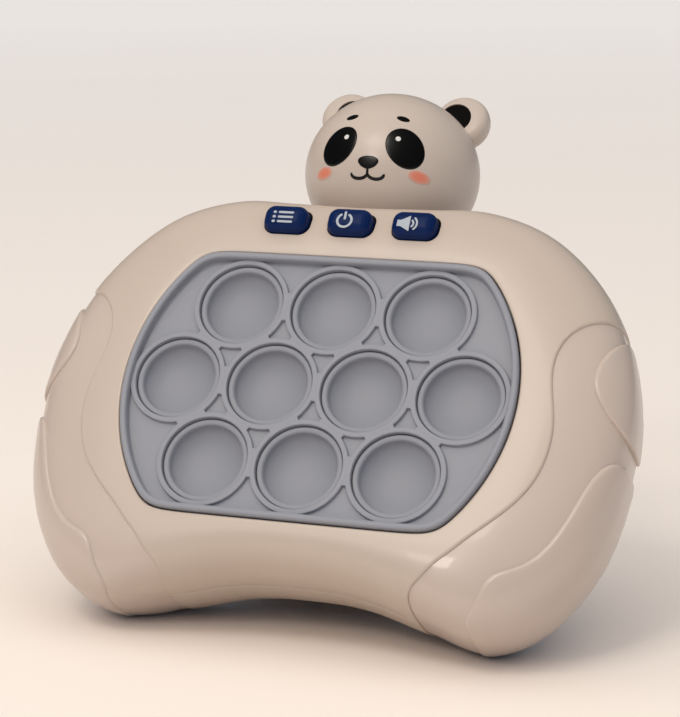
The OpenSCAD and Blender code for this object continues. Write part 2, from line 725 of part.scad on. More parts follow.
// Stiff frame that backs the mat, guides the bubbles and carries the main board
module bubble_frame() {
  color("whitesmoke") difference() {
    union() {
      panel_plate(flange_w, frame_bottom, mat_bottom);
      both_sides() {
        for (p = frame_tab_at) post(p, frame_tab_r, frame_boss_bottom - frame_tab_t, frame_bottom);
        for (s = [-1, 1]) post([post_at[0], s * post_at[1]], post_r, board_top, frame_bottom);
      }
    }
    for (p = bubble_at) post(p, frame_hole_r, frame_bottom - 1, mat_bottom + 1);
    both_sides() {
      for (p = frame_tab_at) {
        post(p, frame_boss_r + 0.15, frame_boss_bottom, mat_bottom + 1);
        post(p, screw_pass, frame_boss_bottom - frame_tab_t - 1, mat_bottom);
      }
      for (s = [-1, 1]) post([post_at[0], s * post_at[1]], screw_bore, board_top - 1,
        board_top + board_screw_grip + screw_room);
    }
  }
}
module frame_screws() {
  color("silver") both_sides() for (p = frame_tab_at)
    screw(p, frame_boss_bottom - frame_tab_t, frame_tab_t + frame_screw_grip);
}

// Main circuit board with a light and a printed contact ring under each bubble
module main_board() {
  color("seagreen") difference() {
    panel_plate(-board_inset, board_bottom, board_top);
    both_sides() for (s = [-1, 1])
      post([post_at[0], s * post_at[1]], screw_pass, board_bottom - 1, board_top + 1);
  }
}
module board_screws() {
  color("silver") both_sides() for (s = [-1, 1])
    screw([post_at[0], s * post_at[1]], board_bottom, board_t + board_screw_grip);
}
module contact_rings() {
  color("black") for (p = bubble_at) translate([p[0], p[1], board_top]) difference() {
    cylinder(r = skirt_r + 0.4, h = pad_t);
    translate([0, 0, -1]) cylinder(r = contact_in_r, h = pad_t + 2);
  }
}
module leds() {
  color("white") for (p = bubble_at) translate([p[0] - led_w / 2, p[1] - led_w / 2, board_top])
    cube([led_w, led_w, led_h]);
}
module main_chip() {
  color("black") translate([chip_at[0], chip_at[1], board_bottom - chip_t]) cube([chip_w, chip_w, chip_t]);
}
module lead_sockets() {
  color("white") for (p = socket_at)
    translate([p[0] - socket_w / 2, p[1] - socket_w / 2, board_bottom - socket_h])
    cube([socket_w, socket_w, socket_h]);
}

// Function buttons: caps that are held by a flange and press a switch each
module function_button(i) {
  color("midnightblue") translate([(i - 1) * button_pitch, button_y, 0]) {
    translate([0, 0, button_flange_bottom]) linear_extrude(button_flange_t) button_outline(button_flange_edge);
    translate([0, 0, button_flange_top - lap]) linear_extrude(button_rise - button_bevel - button_flange_top + lap)
      button_outline(0);
    hull() {
      translate([0, 0, button_rise - button_bevel - lap]) linear_extrude(lap) button_outline(0);
      translate([0, 0, button_rise - lap]) linear_extrude(lap) button_outline(-button_bevel);
    }
  }
}
module switch_stem(i) {
  color("saddlebrown") post([(i - 1) * button_pitch, button_y], stem_r, button_flange_bottom - stem_len,
    button_flange_bottom);
}
module button_switches() {
  color("gray") for (i = [-1 : 1]) difference() {
    translate([i * button_pitch - switch_w / 2, button_y - switch_w / 2, button_board_top])
      cube([switch_w, switch_w, switch_h]);
    post([i * button_pitch, button_y], stem_r + 0.15, button_flange_bottom - stem_len - button_travel - 0.2,
      switch_top + 1);
  }
}
module button_board() {
  color("seagreen") difference() {
    translate([-button_board_half_w, button_board_y, button_board_top - button_board_t])
      cube([2 * button_board_half_w, button_board_h, button_board_t]);
    both_sides() post(button_board_screw_at, screw_pass, button_board_top - 5, button_board_top + 5);
  }
}
module button_board_screws() {
  color("silver") both_sides()
    screw(button_board_screw_at, button_board_top - button_board_t, button_board_t + button_screw_grip);
}
module button_ribbon() {
  upper = button_board_top - button_board_t;
  from_y = panel_half_h - board_inset - ribbon_land;
  to_y = button_board_y + ribbon_land;
  under = [[from_y, board_bottom - ribbon_t], [from_y + ribbon_land, board_bottom - ribbon_sag],
    [to_y - ribbon_land, upper - ribbon_sag], [to_y, upper - ribbon_t]];
  color("lightgray") translate([-ribbon_w / 2, 0, 0]) rotate([90, 0, 90]) linear_extrude(ribbon_w)
    polygon(concat(under, [for (k = [len(under) - 1 : -1 : 0]) under[k] + [0, ribbon_t]]));
}

// Speaker that faces the holes in the back
module speaker_frame() {
  color("dimgray") translate([speaker_at[0], speaker_at[1], speaker_front]) difference() {
    union() {
      cylinder(r = speaker_r, h = speaker_flange_t);
      cylinder(r = speaker_basket_r + 1, h = speaker_basket_h);
    }
    translate([0, 0, -1]) cylinder(r = speaker_basket_r, h = speaker_basket_h);
    translate([0, 0, -1]) cylinder(r = 3, h = speaker_basket_h + 2);
  }
}
module speaker_magnet() {
  color("darkgray") translate([speaker_at[0], speaker_at[1], speaker_front + speaker_basket_h])
    cylinder(r = magnet_r, h = magnet_h);
}
module speaker_cone() {
  color("black") translate([speaker_at[0], speaker_at[1], speaker_front]) rotate_extrude()
    polygon([[0, 3.3], [2.8, 3.3], [speaker_basket_r - 1, 0.2], [speaker_basket_r, 0.2],
      [speaker_basket_r, 0.6], [speaker_basket_r - 0.9, 0.6], [3, 3.7], [0, 3.7]]);
}
module speaker_screws() {
  color("silver") for (s = [-1, 1]) translate([0, 0, 2 * (speaker_front + speaker_flange_t)]) mirror([0, 0, 1])
    screw(speaker_at + [0, s * speaker_screw_out], speaker_front + speaker_flange_t, speaker_screw_len);
}
module speaker_lead() {
  color("black") tube(route(speaker_lead, 5), lead_r, tube_sides);
}

// Battery cells with their contacts, springs and leads
module battery_cells() {
  nub = 1.2;
  nub_r = 2.7;
  color("goldenrod") for (i = [-1 : 1]) translate([0, housing_y + i * cell_pitch, cell_z])
    mirror([i == 0 ? 1 : 0, 0, 0]) rotate([0, 90, 0])
    translate([0, 0, spring_len + contact_t - cavity_half_w]) {
      cylinder(r = cell_d / 2, h = cell_len - nub);
      translate([0, 0, cell_len - nub - 0.1]) cylinder(r = nub_r, h = nub + 0.1);
    }
}
module battery_contacts() {
  plate_h = cell_d - 4;
  color("silver") for (s = [-1, 1]) translate([s * (cavity_half_w - contact_t / 2), housing_y, 0]) {
    translate([0, s * cell_pitch / 2, cell_z]) cube([contact_t, plate_h + cell_pitch, plate_h], center = true);
    translate([0, -s * cell_pitch, cell_z]) cube([contact_t, plate_h, plate_h], center = true);
    translate([-contact_t / 2, -s * cell_pitch - tab_w / 2, cell_z])
      cube([contact_t, tab_w, tab_top - cell_z]);
  }
}
module battery_springs() {
  turns = 4;
  steps = 10;
  wire_r = 0.4;
  path = [for (i = [0 : turns * steps])
    let (f = i / (turns * steps), r = cell_d / 4 * (1 - 0.35 * f))
    [wire_r + (spring_len - 2 * wire_r) * f, r * cos(360 * turns * f), r * sin(360 * turns * f)]];
  color("silver") for (i = [-1 : 1]) translate([0, housing_y + i * cell_pitch, cell_z])
    mirror([i == 0 ? 1 : 0, 0, 0]) translate([contact_t - cavity_half_w, 0, 0]) tube(path, wire_r, 6);
}
module battery_plus_lead() {
  color("red") tube(route(plus_lead, 5), lead_r, tube_sides);
}
module battery_minus_lead() {
  color("black") tube(route(minus_lead, 5), lead_r, tube_sides);
}

// Battery door, let into the housing: it swings on its lower edge and one screw holds it shut
module door_outline(gap) {
  translate([0, housing_y]) polygon(
    rounded_rect(2 * (cavity_half_w + rebate - gap), 2 * (cavity_half_h + rebate - gap), housing_corner));
  translate([0, lug_y]) circle(r = lug_r - gap);
  translate([gap - lug_r, lug_y - lug_r - rebate]) square([2 * (lug_r - gap), lug_r + rebate]);
}
module battery_door() {
  rib_h = cell_z - cell_d / 2 - 0.5 - door_inner;
  color("blanchedalmond") difference() {
    union() {
      translate([0, 0, housing_back]) linear_extrude(door_t) door_outline(door_gap);
      for (s = [-1, 1]) translate([s * 14 - door_rib_t / 2, housing_y - cavity_half_h + 2, door_inner - 0.1])
        cube([door_rib_t, 2 * cavity_half_h - 4, rib_h]);
    }
    post([0, lug_y], screw_pass, housing_back - 1, door_inner + 1);
  }
}
module battery_door_screw() {
  color("silver") screw([0, lug_y], housing_back, door_t + door_screw_grip);
}

module case_screws() {
  color("silver") both_sides() for (p = case_screw_at) screw(p, part_z - case_screw_grip, case_screw_len);
}

stand() front_shell();
stand() rear_shell();
stand() left_grip();
stand() right_grip();
stand() head_front();
stand() head_rear();
stand() head_screws();
stand() bubble_mat();
stand() bubble_frame();
stand() frame_screws();
for (i = [0 : 9]) {
  stand() bubble(i);
  stand() bubble_contact(i);
}
stand() main_board();
stand() board_screws();
stand() contact_rings();
stand() leds();
stand() main_chip();
stand() lead_sockets();
for (i = [0 : 2]) {
  stand() function_button(i);
  stand() switch_stem(i);
}
stand() button_switches();
stand() button_board();
stand() button_board_screws();
stand() button_ribbon();
stand() speaker_frame();
stand() speaker_magnet();
stand() speaker_cone();
stand() speaker_screws();
stand() speaker_lead();
stand() battery_cells();
stand() battery_contacts();
stand() battery_springs();
stand() battery_plus_lead();
stand() battery_minus_lead();
stand() battery_door();
stand() battery_door_screw();
stand() case_screws();
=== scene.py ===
import json
import math

import bpy
import numpy as np
from mathutils import Matrix, Vector


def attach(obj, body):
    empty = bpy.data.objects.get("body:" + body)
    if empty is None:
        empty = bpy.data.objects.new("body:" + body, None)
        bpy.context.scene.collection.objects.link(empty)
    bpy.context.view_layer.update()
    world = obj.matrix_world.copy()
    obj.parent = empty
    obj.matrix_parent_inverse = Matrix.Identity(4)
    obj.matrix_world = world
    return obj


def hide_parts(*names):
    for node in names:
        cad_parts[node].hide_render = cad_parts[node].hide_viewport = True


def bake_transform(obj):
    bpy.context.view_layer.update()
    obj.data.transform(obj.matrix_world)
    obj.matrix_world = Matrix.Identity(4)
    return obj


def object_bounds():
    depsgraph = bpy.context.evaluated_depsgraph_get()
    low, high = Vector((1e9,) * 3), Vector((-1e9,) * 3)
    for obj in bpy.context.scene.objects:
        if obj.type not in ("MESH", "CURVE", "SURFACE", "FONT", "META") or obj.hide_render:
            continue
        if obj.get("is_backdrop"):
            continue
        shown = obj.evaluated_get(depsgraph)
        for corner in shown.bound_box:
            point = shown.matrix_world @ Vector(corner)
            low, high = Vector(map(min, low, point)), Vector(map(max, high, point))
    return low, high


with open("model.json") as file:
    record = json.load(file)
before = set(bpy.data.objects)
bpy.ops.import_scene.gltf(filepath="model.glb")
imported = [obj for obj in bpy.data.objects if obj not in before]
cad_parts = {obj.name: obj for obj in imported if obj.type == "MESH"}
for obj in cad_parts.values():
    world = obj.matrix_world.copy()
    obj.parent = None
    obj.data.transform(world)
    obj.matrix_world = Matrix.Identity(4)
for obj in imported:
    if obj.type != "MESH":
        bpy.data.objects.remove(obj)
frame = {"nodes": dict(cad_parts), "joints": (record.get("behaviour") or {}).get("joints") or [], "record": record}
cad_low, cad_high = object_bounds()


# Table, camera and light
# The game stands on a wide pale table top under soft light from above. Its colour is warm near by and is painted
# lighter and cooler far off, as painted light of a brighter backdrop.
# A warm lamp above and two window panes in front, all a little to the left, show in the glossy parts.
press = Vector(next(j["axis"] for j in frame["joints"] if j["name"] == "bubble_1_press"))
across = Vector((1, 0, 0))
out = -press.normalized()
up = out.cross(across)
rim_rise = 1.4
mat_points = np.array([v.co for v in frame["nodes"]["bubble_mat"].data.vertices])
mat_heights = mat_points @ np.array(up)
panel_centre = up * (mat_heights.min() + mat_heights.max()) / 2
panel_centre += out * ((mat_points @ np.array(out)).max() - rim_rise / 1000)
panel_space = Matrix.Translation(panel_centre)
panel_space @= Matrix((across, up, out)).transposed().to_4x4() @ Matrix.Scale(0.001, 4)

camera_place = (181.05, -205.88, 476.04)
camera_dip = 11.73
camera_turn = 19.08
focal_px = 2200
long_side_px = 717
camera = bpy.data.objects.new("camera", bpy.data.cameras.new("camera"))
bpy.context.scene.collection.objects.link(camera)
camera.location = panel_space @ Vector(camera_place)
camera.rotation_euler = (math.radians(90 - camera_dip), 0, math.radians(camera_turn))
camera.data.lens = focal_px / long_side_px * camera.data.sensor_width
bpy.context.scene.camera = camera

table_size = 40
table_rough = 0.75
near_colour = (0.86, 0.765, 0.685, 1)
# Painted light: the far colour is lighter and cooler than the table's own near colour, standing in for a brighter
# lit backdrop.
far_painted_light_colour = (0.99, 0.945, 0.91, 1)
far_from = 3.0
patch_scale = 5
patch_reach = 0.25
bpy.ops.object.select_all(action="DESELECT")
bpy.ops.mesh.primitive_plane_add(size=table_size)
table = bpy.context.object
table.name = "table"
table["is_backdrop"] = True
table_finish = bpy.data.materials.new("table_top_painted_far_light")
table_finish.use_nodes = True
nodes, links = table_finish.node_tree.nodes, table_finish.node_tree.links
shader = nodes["Principled BSDF"]
shader.inputs["Roughness"].default_value = table_rough
where = nodes.new("ShaderNodeTexCoord")
distance = nodes.new("ShaderNodeVectorMath")
distance.operation = "LENGTH"
cloud = nodes.new("ShaderNodeTexNoise")
cloud.inputs["Scale"].default_value = patch_scale
wander = nodes.new("ShaderNodeMath")
wander.operation = "MULTIPLY_ADD"
wander.inputs[1].default_value = patch_reach
fade = nodes.new("ShaderNodeMapRange")
fade.inputs["From Max"].default_value = far_from
# Painted light: with distance the colour fades from the near colour to the lighter, cooler far colour.
tint = nodes.new("ShaderNodeMix")
tint.data_type = "RGBA"
tint.inputs["A"].default_value = near_colour
tint.inputs["B"].default_value = far_painted_light_colour
links.new(where.outputs["Object"], distance.inputs[0])
links.new(where.outputs["Object"], cloud.inputs["Vector"])
links.new(cloud.outputs["Fac"], wander.inputs[0])
links.new(distance.outputs["Value"], wander.inputs[2])
links.new(wander.outputs["Value"], fade.inputs["Value"])
links.new(fade.outputs["Result"], tint.inputs["Factor"])
links.new(tint.outputs["Result"], shader.inputs["Base Color"])
table.data.materials.append(table_finish)

low_light = 0.21
high_light = 0.77
low_tint = (0.52, 0.80, 1.22, 1)
high_tint = (0.80, 0.87, 0.92, 1)
mirrored_share = 0.15
world = bpy.data.worlds.new("room")
bpy.context.scene.world = world
world.use_nodes = True
room = world.node_tree.nodes["Background"]
nodes, links = world.node_tree.nodes, world.node_tree.links
view = nodes.new("ShaderNodeTexCoord")
height = nodes.new("ShaderNodeSeparateXYZ")
ceiling = nodes.new("ShaderNodeMapRange")
ceiling.inputs["To Min"].default_value = low_light
ceiling.inputs["To Max"].default_value = high_light
tint = nodes.new("ShaderNodeMix")
tint.data_type = "RGBA"
tint.inputs["A"].default_value = low_tint
tint.inputs["B"].default_value = high_tint
rays = nodes.new("ShaderNodeLightPath")
mirrored = nodes.new("ShaderNodeMapRange")
mirrored.inputs["To Min"].default_value = 1
mirrored.inputs["To Max"].default_value = mirrored_share
dim = nodes.new("ShaderNodeMath")
dim.operation = "MULTIPLY"
links.new(view.outputs["Generated"], height.inputs["Vector"])
links.new(height.outputs["Z"], ceiling.inputs["Value"])
links.new(height.outputs["Z"], tint.inputs["Factor"])
links.new(tint.outputs["Result"], room.inputs["Color"])
links.new(rays.outputs["Is Glossy Ray"], mirrored.inputs["Value"])
links.new(ceiling.outputs["Result"], dim.inputs[0])
links.new(mirrored.outputs["Result"], dim.inputs[1])
links.new(dim.outputs["Value"], room.inputs["Strength"])
bpy.context.scene.view_settings.view_transform = "Standard"


def lamp(name, kind, strength, colour, place):
    """A lamp of the given kind at a place, facing the middle of the panel."""
    light = bpy.data.objects.new(name, bpy.data.lights.new(name, kind))
    light.data.energy = strength
    light.data.color = colour
    light.location = place
    light.rotation_euler = (panel_centre - Vector(place)).to_track_quat("-Z", "Y").to_euler()
    bpy.context.scene.collection.objects.link(light)
    return light


def towards(azimuth, elevation, away):
    """A place in a direction from the panel: azimuth 0 is straight in front and grows to the right."""
    a, e = math.radians(azimuth), math.radians(elevation)
    direction = Vector((math.sin(a) * math.cos(e), -math.cos(a) * math.cos(e), math.sin(e)))
    return panel_centre + away * direction


sky_strength = 1.6
sky_colour = (1.0, 0.84, 0.66)
sky_spread_deg = 100
sky = lamp("sky", "SUN", sky_strength, sky_colour, towards(-25, 74, 2))
sky.visible_glossy = False
sky.data.angle = math.radians(sky_spread_deg)
lamp_colour = (1.0, 0.93, 0.84)
lamp_away = 1.3
lamps = (
    ("left_pane", -18.5, 37, 0.1, 0.2, 0.9),
    ("right_pane", -12.5, 37, 0.1, 0.2, 0.9),
    ("lamp", -21, 56, 0.5, 0.35, 3.8))
for name, azimuth, elevation, wide, tall, watts in lamps:
    pane = lamp(name, "AREA", watts, lamp_colour, towards(azimuth, elevation, lamp_away))
    pane.data.shape = "RECTANGLE"
    pane.data.size = wide
    pane.data.size_y = tall


# Front cover
# The front half of the body is moulded in satin cream plastic. Its face falls away from the panel
# opening to the widest line, and a raised edge runs round each grip in an S-shaped line. Six screws
# from behind hold it to the rear half.
body_half_w = 78.8
top_h = 57.4
grip_drop = 57
front_depth = 17.3
rear_depth = 27
face_z = 0.3
part_z = face_z - front_depth
back_z = part_z - rear_depth
wall = 3
panel_r = 52
panel_half_h = 36.4
corner_power = 28
section_power = 2.5
top_flatness = 1
top_fade = 6
rear_round = 0.42
edge_soft = 0.8
rim_soft = 0.45
outline_shape = [
    (0, 0.97), (0.23, 0.976), (0.444, 0.975), (0.647, 0.884), (0.812, 0.698), (0.933, 0.436),
    (0.997, 0.105), (0.997, -0.21), (0.945, -0.561), (0.812, -0.86), (0.635, -1), (0.419, -0.93),
    (0.203, -0.851), (0, -0.833)]
half_loop = len(outline_shape) - 1
full_loop = 2 * half_loop
outline_half = [(x * body_half_w, y * (top_h if y > 0 else grip_drop)) for x, y in outline_shape]
outline_loop = np.array(outline_half + [(-x, y) for x, y in outline_half[-2:0:-1]])


def body_outline(t):
    """Points of the body's widest line at outline positions t, a smooth curve through the loop."""
    whole = np.floor(t).astype(int)
    f = (t - whole)[..., None]
    a, b, c, d = (outline_loop[(whole + k) % full_loop] for k in (-1, 0, 1, 2))
    return 0.5 * (2 * b + (c - a) * f + (2 * a - 5 * b + 4 * c - d) * f**2 + (3 * b - a - 3 * c + d) * f**3)


def opening_radius(angle, grow):
    """Distance of the panel opening's edge in a direction: a circle cut by two straight edges."""
    inverse = (1 / (panel_r + grow)) ** corner_power
    inverse = inverse + (np.abs(np.sin(angle)) / (panel_half_h + grow)) ** corner_power
    return inverse ** (-1 / corner_power)


def section_bend(at, front):
    """Power of the section's curve at outline points. The front is squarer towards the body's top."""
    flat = np.where(front, top_flatness * np.clip(at[..., 1] / top_h, 0, None) ** top_fade, 0)
    return 2 / (section_power + flat)


def skin(t, f, inset):
    """Points of the body's surface at outline position t and section angle f, sunk by inset.
    The angle runs from the widest line, at 0, to the panel at 90 or to the flat back at -90."""
    t, f, inset = np.broadcast_arrays(*(np.asarray(x, float) for x in (t, f, inset)))
    at = body_outline(t)
    angle = np.arctan2(at[..., 1], at[..., 0])
    reach = np.hypot(at[..., 0], at[..., 1])
    front = f >= 0
    inner = np.where(front, opening_radius(angle, 0), reach * (1 - rear_round))
    depth = np.where(front, front_depth - inset, inset - rear_depth)
    power = section_bend(at, front)
    turn = np.radians(f)
    radius = inner + (reach - inner - inset) * np.clip(np.cos(turn), 0, 1) ** power
    height = part_z + depth * np.abs(np.sin(turn)) ** power
    return np.stack([radius * np.cos(angle), radius * np.sin(angle), height], -1)


grip_mid = 7.95
grip_half = 3.05
grip_top_power = 5
grip_low_power = 3.4
grip_front_deg = 77.3
grip_rear_deg = 58
wave_deg = 5.3
wave_from = 8.33
wave_len = 4.3


def grip_reach(t, side):
    """How far round the section the grip reaches: to the front in an S-shaped wave, evenly to the back."""
    if side < 0:
        return np.full_like(t, grip_rear_deg)
    return grip_front_deg + wave_deg * np.sin(2 * np.pi * (t - wave_from) / wave_len)


def grip_edge(side):
    """Outline positions and section angles along the cover's lower edge on the right half: the widest
    line, then up, along and down the grip's line, then the widest line again."""
    ends = np.linspace(0.03, 0.9, 26)
    first = -((1 - ends**grip_top_power) ** (1 / grip_top_power))
    last = (1 - ends[::-1] ** grip_low_power) ** (1 / grip_low_power)
    along = np.linspace(first[-1], last[0], 66)[1:-1]
    power = np.where(along < 0, grip_top_power, grip_low_power)
    t = grip_mid + grip_half * np.concatenate([first, along, last])
    height = np.concatenate([ends, (1 - np.abs(along) ** power) ** (1 / power), ends[::-1]])
    top = np.linspace(0, grip_mid - grip_half, 60)
    bottom = np.linspace(grip_mid + grip_half, half_loop, 40)
    return (np.concatenate([top, t, bottom]),
            np.concatenate([0 * top, grip_reach(t, side) * height, 0 * bottom]))


merge_gap = 0.0005


def open_all():
    """Opens the active piece for editing, with all of it selected."""
    bpy.ops.object.mode_set(mode="EDIT")
    bpy.ops.mesh.select_all(action="SELECT")


def loft(name, points):
    """A grid primitive laid on rows of points. Rows or columns that meet are merged into a closed skin."""
    rows, columns = points.shape[:2]
    bpy.ops.object.select_all(action="DESELECT")
    bpy.ops.mesh.primitive_grid_add(x_subdivisions=columns - 1, y_subdivisions=rows - 1)
    piece = bpy.context.object
    piece.name = name
    piece.data.vertices.foreach_set("co", np.ascontiguousarray(points, np.float32).ravel())
    open_all()
    bpy.ops.mesh.remove_doubles(threshold=merge_gap)
    bpy.ops.mesh.normals_make_consistent(inside=False)
    bpy.ops.object.mode_set(mode="OBJECT")
    return piece


def cover(name, side):
    """One half of the body as a closed skin: its lower edge, rounded over, its outer face and, on the
    front, the panel opening's rounded rim, then the inner face back to the edge."""
    t_half, f_half = grip_edge(side)
    t_edge = np.concatenate([t_half, full_loop - t_half[-2::-1]])
    f_edge = np.concatenate([f_half, f_half[-2::-1]])
    small = 0.001
    edge = skin(t_edge, side * f_edge, 0)
    t_mm = np.linalg.norm(skin(t_edge + small, side * f_edge, 0) - edge, axis=-1) / small
    f_mm = np.linalg.norm(skin(t_edge, side * (f_edge + 1), 0) - edge, axis=-1)
    run_t = np.gradient(t_edge) * t_mm
    run_f = np.gradient(f_edge) * f_mm
    run = np.hypot(run_t, run_f)
    away_t = -run_f / run / t_mm
    away_f = run_t / run / f_mm
    path = np.concatenate([[0], np.cumsum(run[:-1] + run[1:]) / 2])
    t_inner = 0.5 * t_edge + 0.5 * full_loop * path / path[-1]
    at = body_outline(t_inner % full_loop)
    span = np.hypot(at[:, 0], at[:, 1]) - opening_radius(np.arctan2(at[:, 1], at[:, 0]), 0)
    power = section_bend(at, side > 0)

    rows = []

    def row(t, f, inset):
        rows.append(skin(t % full_loop, side * f, inset))

    if side < 0:
        rows.append(np.tile((0.0, 0.0, back_z + wall), (len(t_edge), 1)))
    for share in np.linspace(1, 0, 13)[:-1]:
        row(t_edge + (t_inner - t_edge) * share, f_edge + (90 - f_edge) * share, wall)
    for inset in (wall, (wall + edge_soft) / 2):
        row(t_edge, f_edge, inset)
    for a in np.radians(np.linspace(0, 90, 6)):
        off = edge_soft * (1 - math.cos(a))
        row(t_edge + away_t * off, f_edge + away_f * off, edge_soft * (1 - math.sin(a)))
    t_from = t_edge + away_t * edge_soft
    f_from = f_edge + away_f * edge_soft
    f_to = np.degrees(np.arccos((rim_soft / span) ** (1 / power))) if side > 0 else np.full_like(t_edge, 90)
    for share in np.linspace(0, 1, 40)[1:]:
        ease = share * share * (3 - 2 * share)
        row(t_from + (t_inner - t_from) * ease, f_from + (f_to - f_from) * share, 0)
    if side > 0:
        for a in np.radians(np.linspace(0, 90, 6))[1:]:
            off = np.maximum(rim_soft * (1 - math.sin(a)), 0) / span
            row(t_inner, np.degrees(np.arccos(off ** (1 / power))), rim_soft * (1 - math.cos(a)))
        row(t_inner, np.full_like(t_edge, 90), (wall + rim_soft) / 2)
        rows.append(rows[0])
    else:
        rows.append(np.tile((0.0, 0.0, back_z), (len(t_edge), 1)))
    return loft(name, np.array(rows))


def cut(piece, cutter, operation="DIFFERENCE"):
    """Cuts the cutter out of a piece, or joins it to the piece, and removes the cutter."""
    bpy.context.view_layer.objects.active = piece
    bpy.ops.object.modifier_add(type="BOOLEAN")
    modifier = piece.modifiers[-1]
    modifier.operation = operation
    modifier.solver = "MANIFOLD"
    modifier.object = cutter
    bpy.ops.object.modifier_apply(modifier=modifier.name)
    bpy.data.objects.remove(cutter)


def take(piece):
    """Selects one piece alone and makes it the active one."""
    bpy.ops.object.select_all(action="DESELECT")
    piece.select_set(True)
    bpy.context.view_layer.objects.active = piece


def stand_up(piece, finish, smooth_deg=35):
    """Gives its finish to a piece that was made in the panel's own frame, in millimetres, and sets it
    on the table, inside the object's box."""
    piece.data.materials.clear()
    piece.data.materials.append(finish)
    take(piece)
    piece.matrix_world = panel_space
    bpy.ops.object.transform_apply(location=True, rotation=True, scale=True)
    for vertex in piece.data.vertices:
        vertex.co = [min(max(c, low), high) for c, low, high in zip(vertex.co, cad_low, cad_high)]
    bpy.ops.object.shade_smooth_by_angle(angle=math.radians(smooth_deg))
    return piece


coat_rough = 0.06
mottle_scale = 45
mottle_detail = 3
polish_spread = 0.1
grain_scale = 2600
grain_depth = 0.0002


def moulded(name, colour, roughness, mottle=0.03, grain=0.02, coat=0.0, shine=0.5):
    """A moulded surface: a faint cloudy tint, uneven polish and a fine grain in its gloss."""
    material = bpy.data.materials.new(name)
    material.use_nodes = True
    nodes, links = material.node_tree.nodes, material.node_tree.links
    shader = nodes["Principled BSDF"]
    shader.inputs["Specular IOR Level"].default_value = shine
    shader.inputs["Coat Weight"].default_value = coat
    shader.inputs["Coat Roughness"].default_value = coat_rough
    where = nodes.new("ShaderNodeTexCoord")
    cloud = nodes.new("ShaderNodeTexNoise")
    cloud.inputs["Scale"].default_value = mottle_scale
    cloud.inputs["Detail"].default_value = mottle_detail
    tint = nodes.new("ShaderNodeMix")
    tint.data_type = "RGBA"
    tint.inputs["A"].default_value = [c * (1 - mottle) for c in colour] + [1]
    tint.inputs["B"].default_value = [min(c * (1 + mottle), 1) for c in colour] + [1]
    polish = nodes.new("ShaderNodeMapRange")
    polish.inputs["To Min"].default_value = roughness * (1 - polish_spread)
    polish.inputs["To Max"].default_value = roughness * (1 + polish_spread)
    fine = nodes.new("ShaderNodeTexNoise")
    fine.inputs["Scale"].default_value = grain_scale
    relief = nodes.new("ShaderNodeBump")
    relief.inputs["Strength"].default_value = grain
    relief.inputs["Distance"].default_value = grain_depth
    for texture in (cloud, fine):
        links.new(where.outputs["Object"], texture.inputs["Vector"])
    links.new(cloud.outputs["Fac"], tint.inputs["Factor"])
    links.new(tint.outputs["Result"], shader.inputs["Base Color"])
    links.new(cloud.outputs["Fac"], polish.inputs["Value"])
    links.new(polish.outputs["Result"], shader.inputs["Roughness"])
    links.new(fine.outputs["Fac"], relief.inputs["Height"])
    links.new(relief.outputs["Normal"], shader.inputs["Normal"])
    return material


def panel_box(node):
    """Lowest and highest corners of a CAD node in the panel's own frame, in millimetres."""
    back = panel_space.inverted()
    points = np.array([back @ v.co for v in frame["nodes"][node].data.vertices])
    return points.min(0), points.max(0)


def rounded_block(name, low, high, corner, steps=8):
    """A block whose four upright edges are rounded: a cube, stretched to size, its edges bevelled."""
    bpy.ops.object.select_all(action="DESELECT")
    bpy.ops.mesh.primitive_cube_add(size=1)
    piece = bpy.context.object
    piece.name = name
    for vertex in piece.data.vertices:
        vertex.co = [lo + (c + 0.5) * (hi - lo) for c, lo, hi in zip(vertex.co, low, high)]
    for edge in piece.data.edges:
        a, b = (piece.data.vertices[v].co for v in edge.vertices)
        edge.select = abs(a.z - b.z) > 1e-6
    bpy.ops.object.mode_set(mode="EDIT")
    bpy.ops.mesh.select_mode(type="EDGE")
    bpy.ops.mesh.bevel(offset=corner, segments=steps, affect="EDGES")
    bpy.ops.object.mode_set(mode="OBJECT")
    return piece


head_low, head_high = panel_box("head_front")
head_half_w = (head_high[0] - head_low[0]) / 2
head_r = (head_high[1] - head_low[1]) / 2
head_centre = np.array([0, (head_low[1] + head_high[1]) / 2, head_high[2] - head_r])
head_gap = 0.3


def head_ball(name, grow):
    """The head's round form: a ball primitive drawn out to the sides."""
    bpy.ops.object.select_all(action="DESELECT")
    bpy.ops.mesh.primitive_uv_sphere_add(segments=160, ring_count=80, radius=1)
    ball = bpy.context.object
    ball.name = name
    bpy.ops.object.mode_set(mode="EDIT")
    bpy.ops.transform.resize(value=(head_half_w + grow, head_r + grow, head_r + grow))
    bpy.ops.transform.translate(value=head_centre)
    bpy.ops.object.mode_set(mode="OBJECT")
    return ball


key_names = ("menu", "power", "sound")
button_corner = 2.8
hole_gap = 0.3
cut_past = 1
shell_finish = moulded("satin_cream", (0.525, 0.43, 0.358), 0.34, coat=0.1)
front_cover = cover("front_cover", 1)
cut(front_cover, head_ball("head_room", head_gap))
key_boxes = {}
for key in key_names:
    points = [panel_space.inverted() @ v.co for v in frame["nodes"][f"{key}_button"].data.vertices]
    cap = np.array([p for p in points if p.z > face_z])
    key_boxes[key] = (cap.min(0), cap.max(0))
    low, high = key_boxes[key]
    hole_low = (low[0] - hole_gap, low[1] - hole_gap, part_z)
    hole_high = (high[0] + hole_gap, high[1] + hole_gap, high[2] + cut_past)
    cut(front_cover, rounded_block("hole", hole_low, hole_high, button_corner + hole_gap))
stand_up(front_cover, shell_finish)
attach(front_cover, "case")
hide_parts("front_shell")


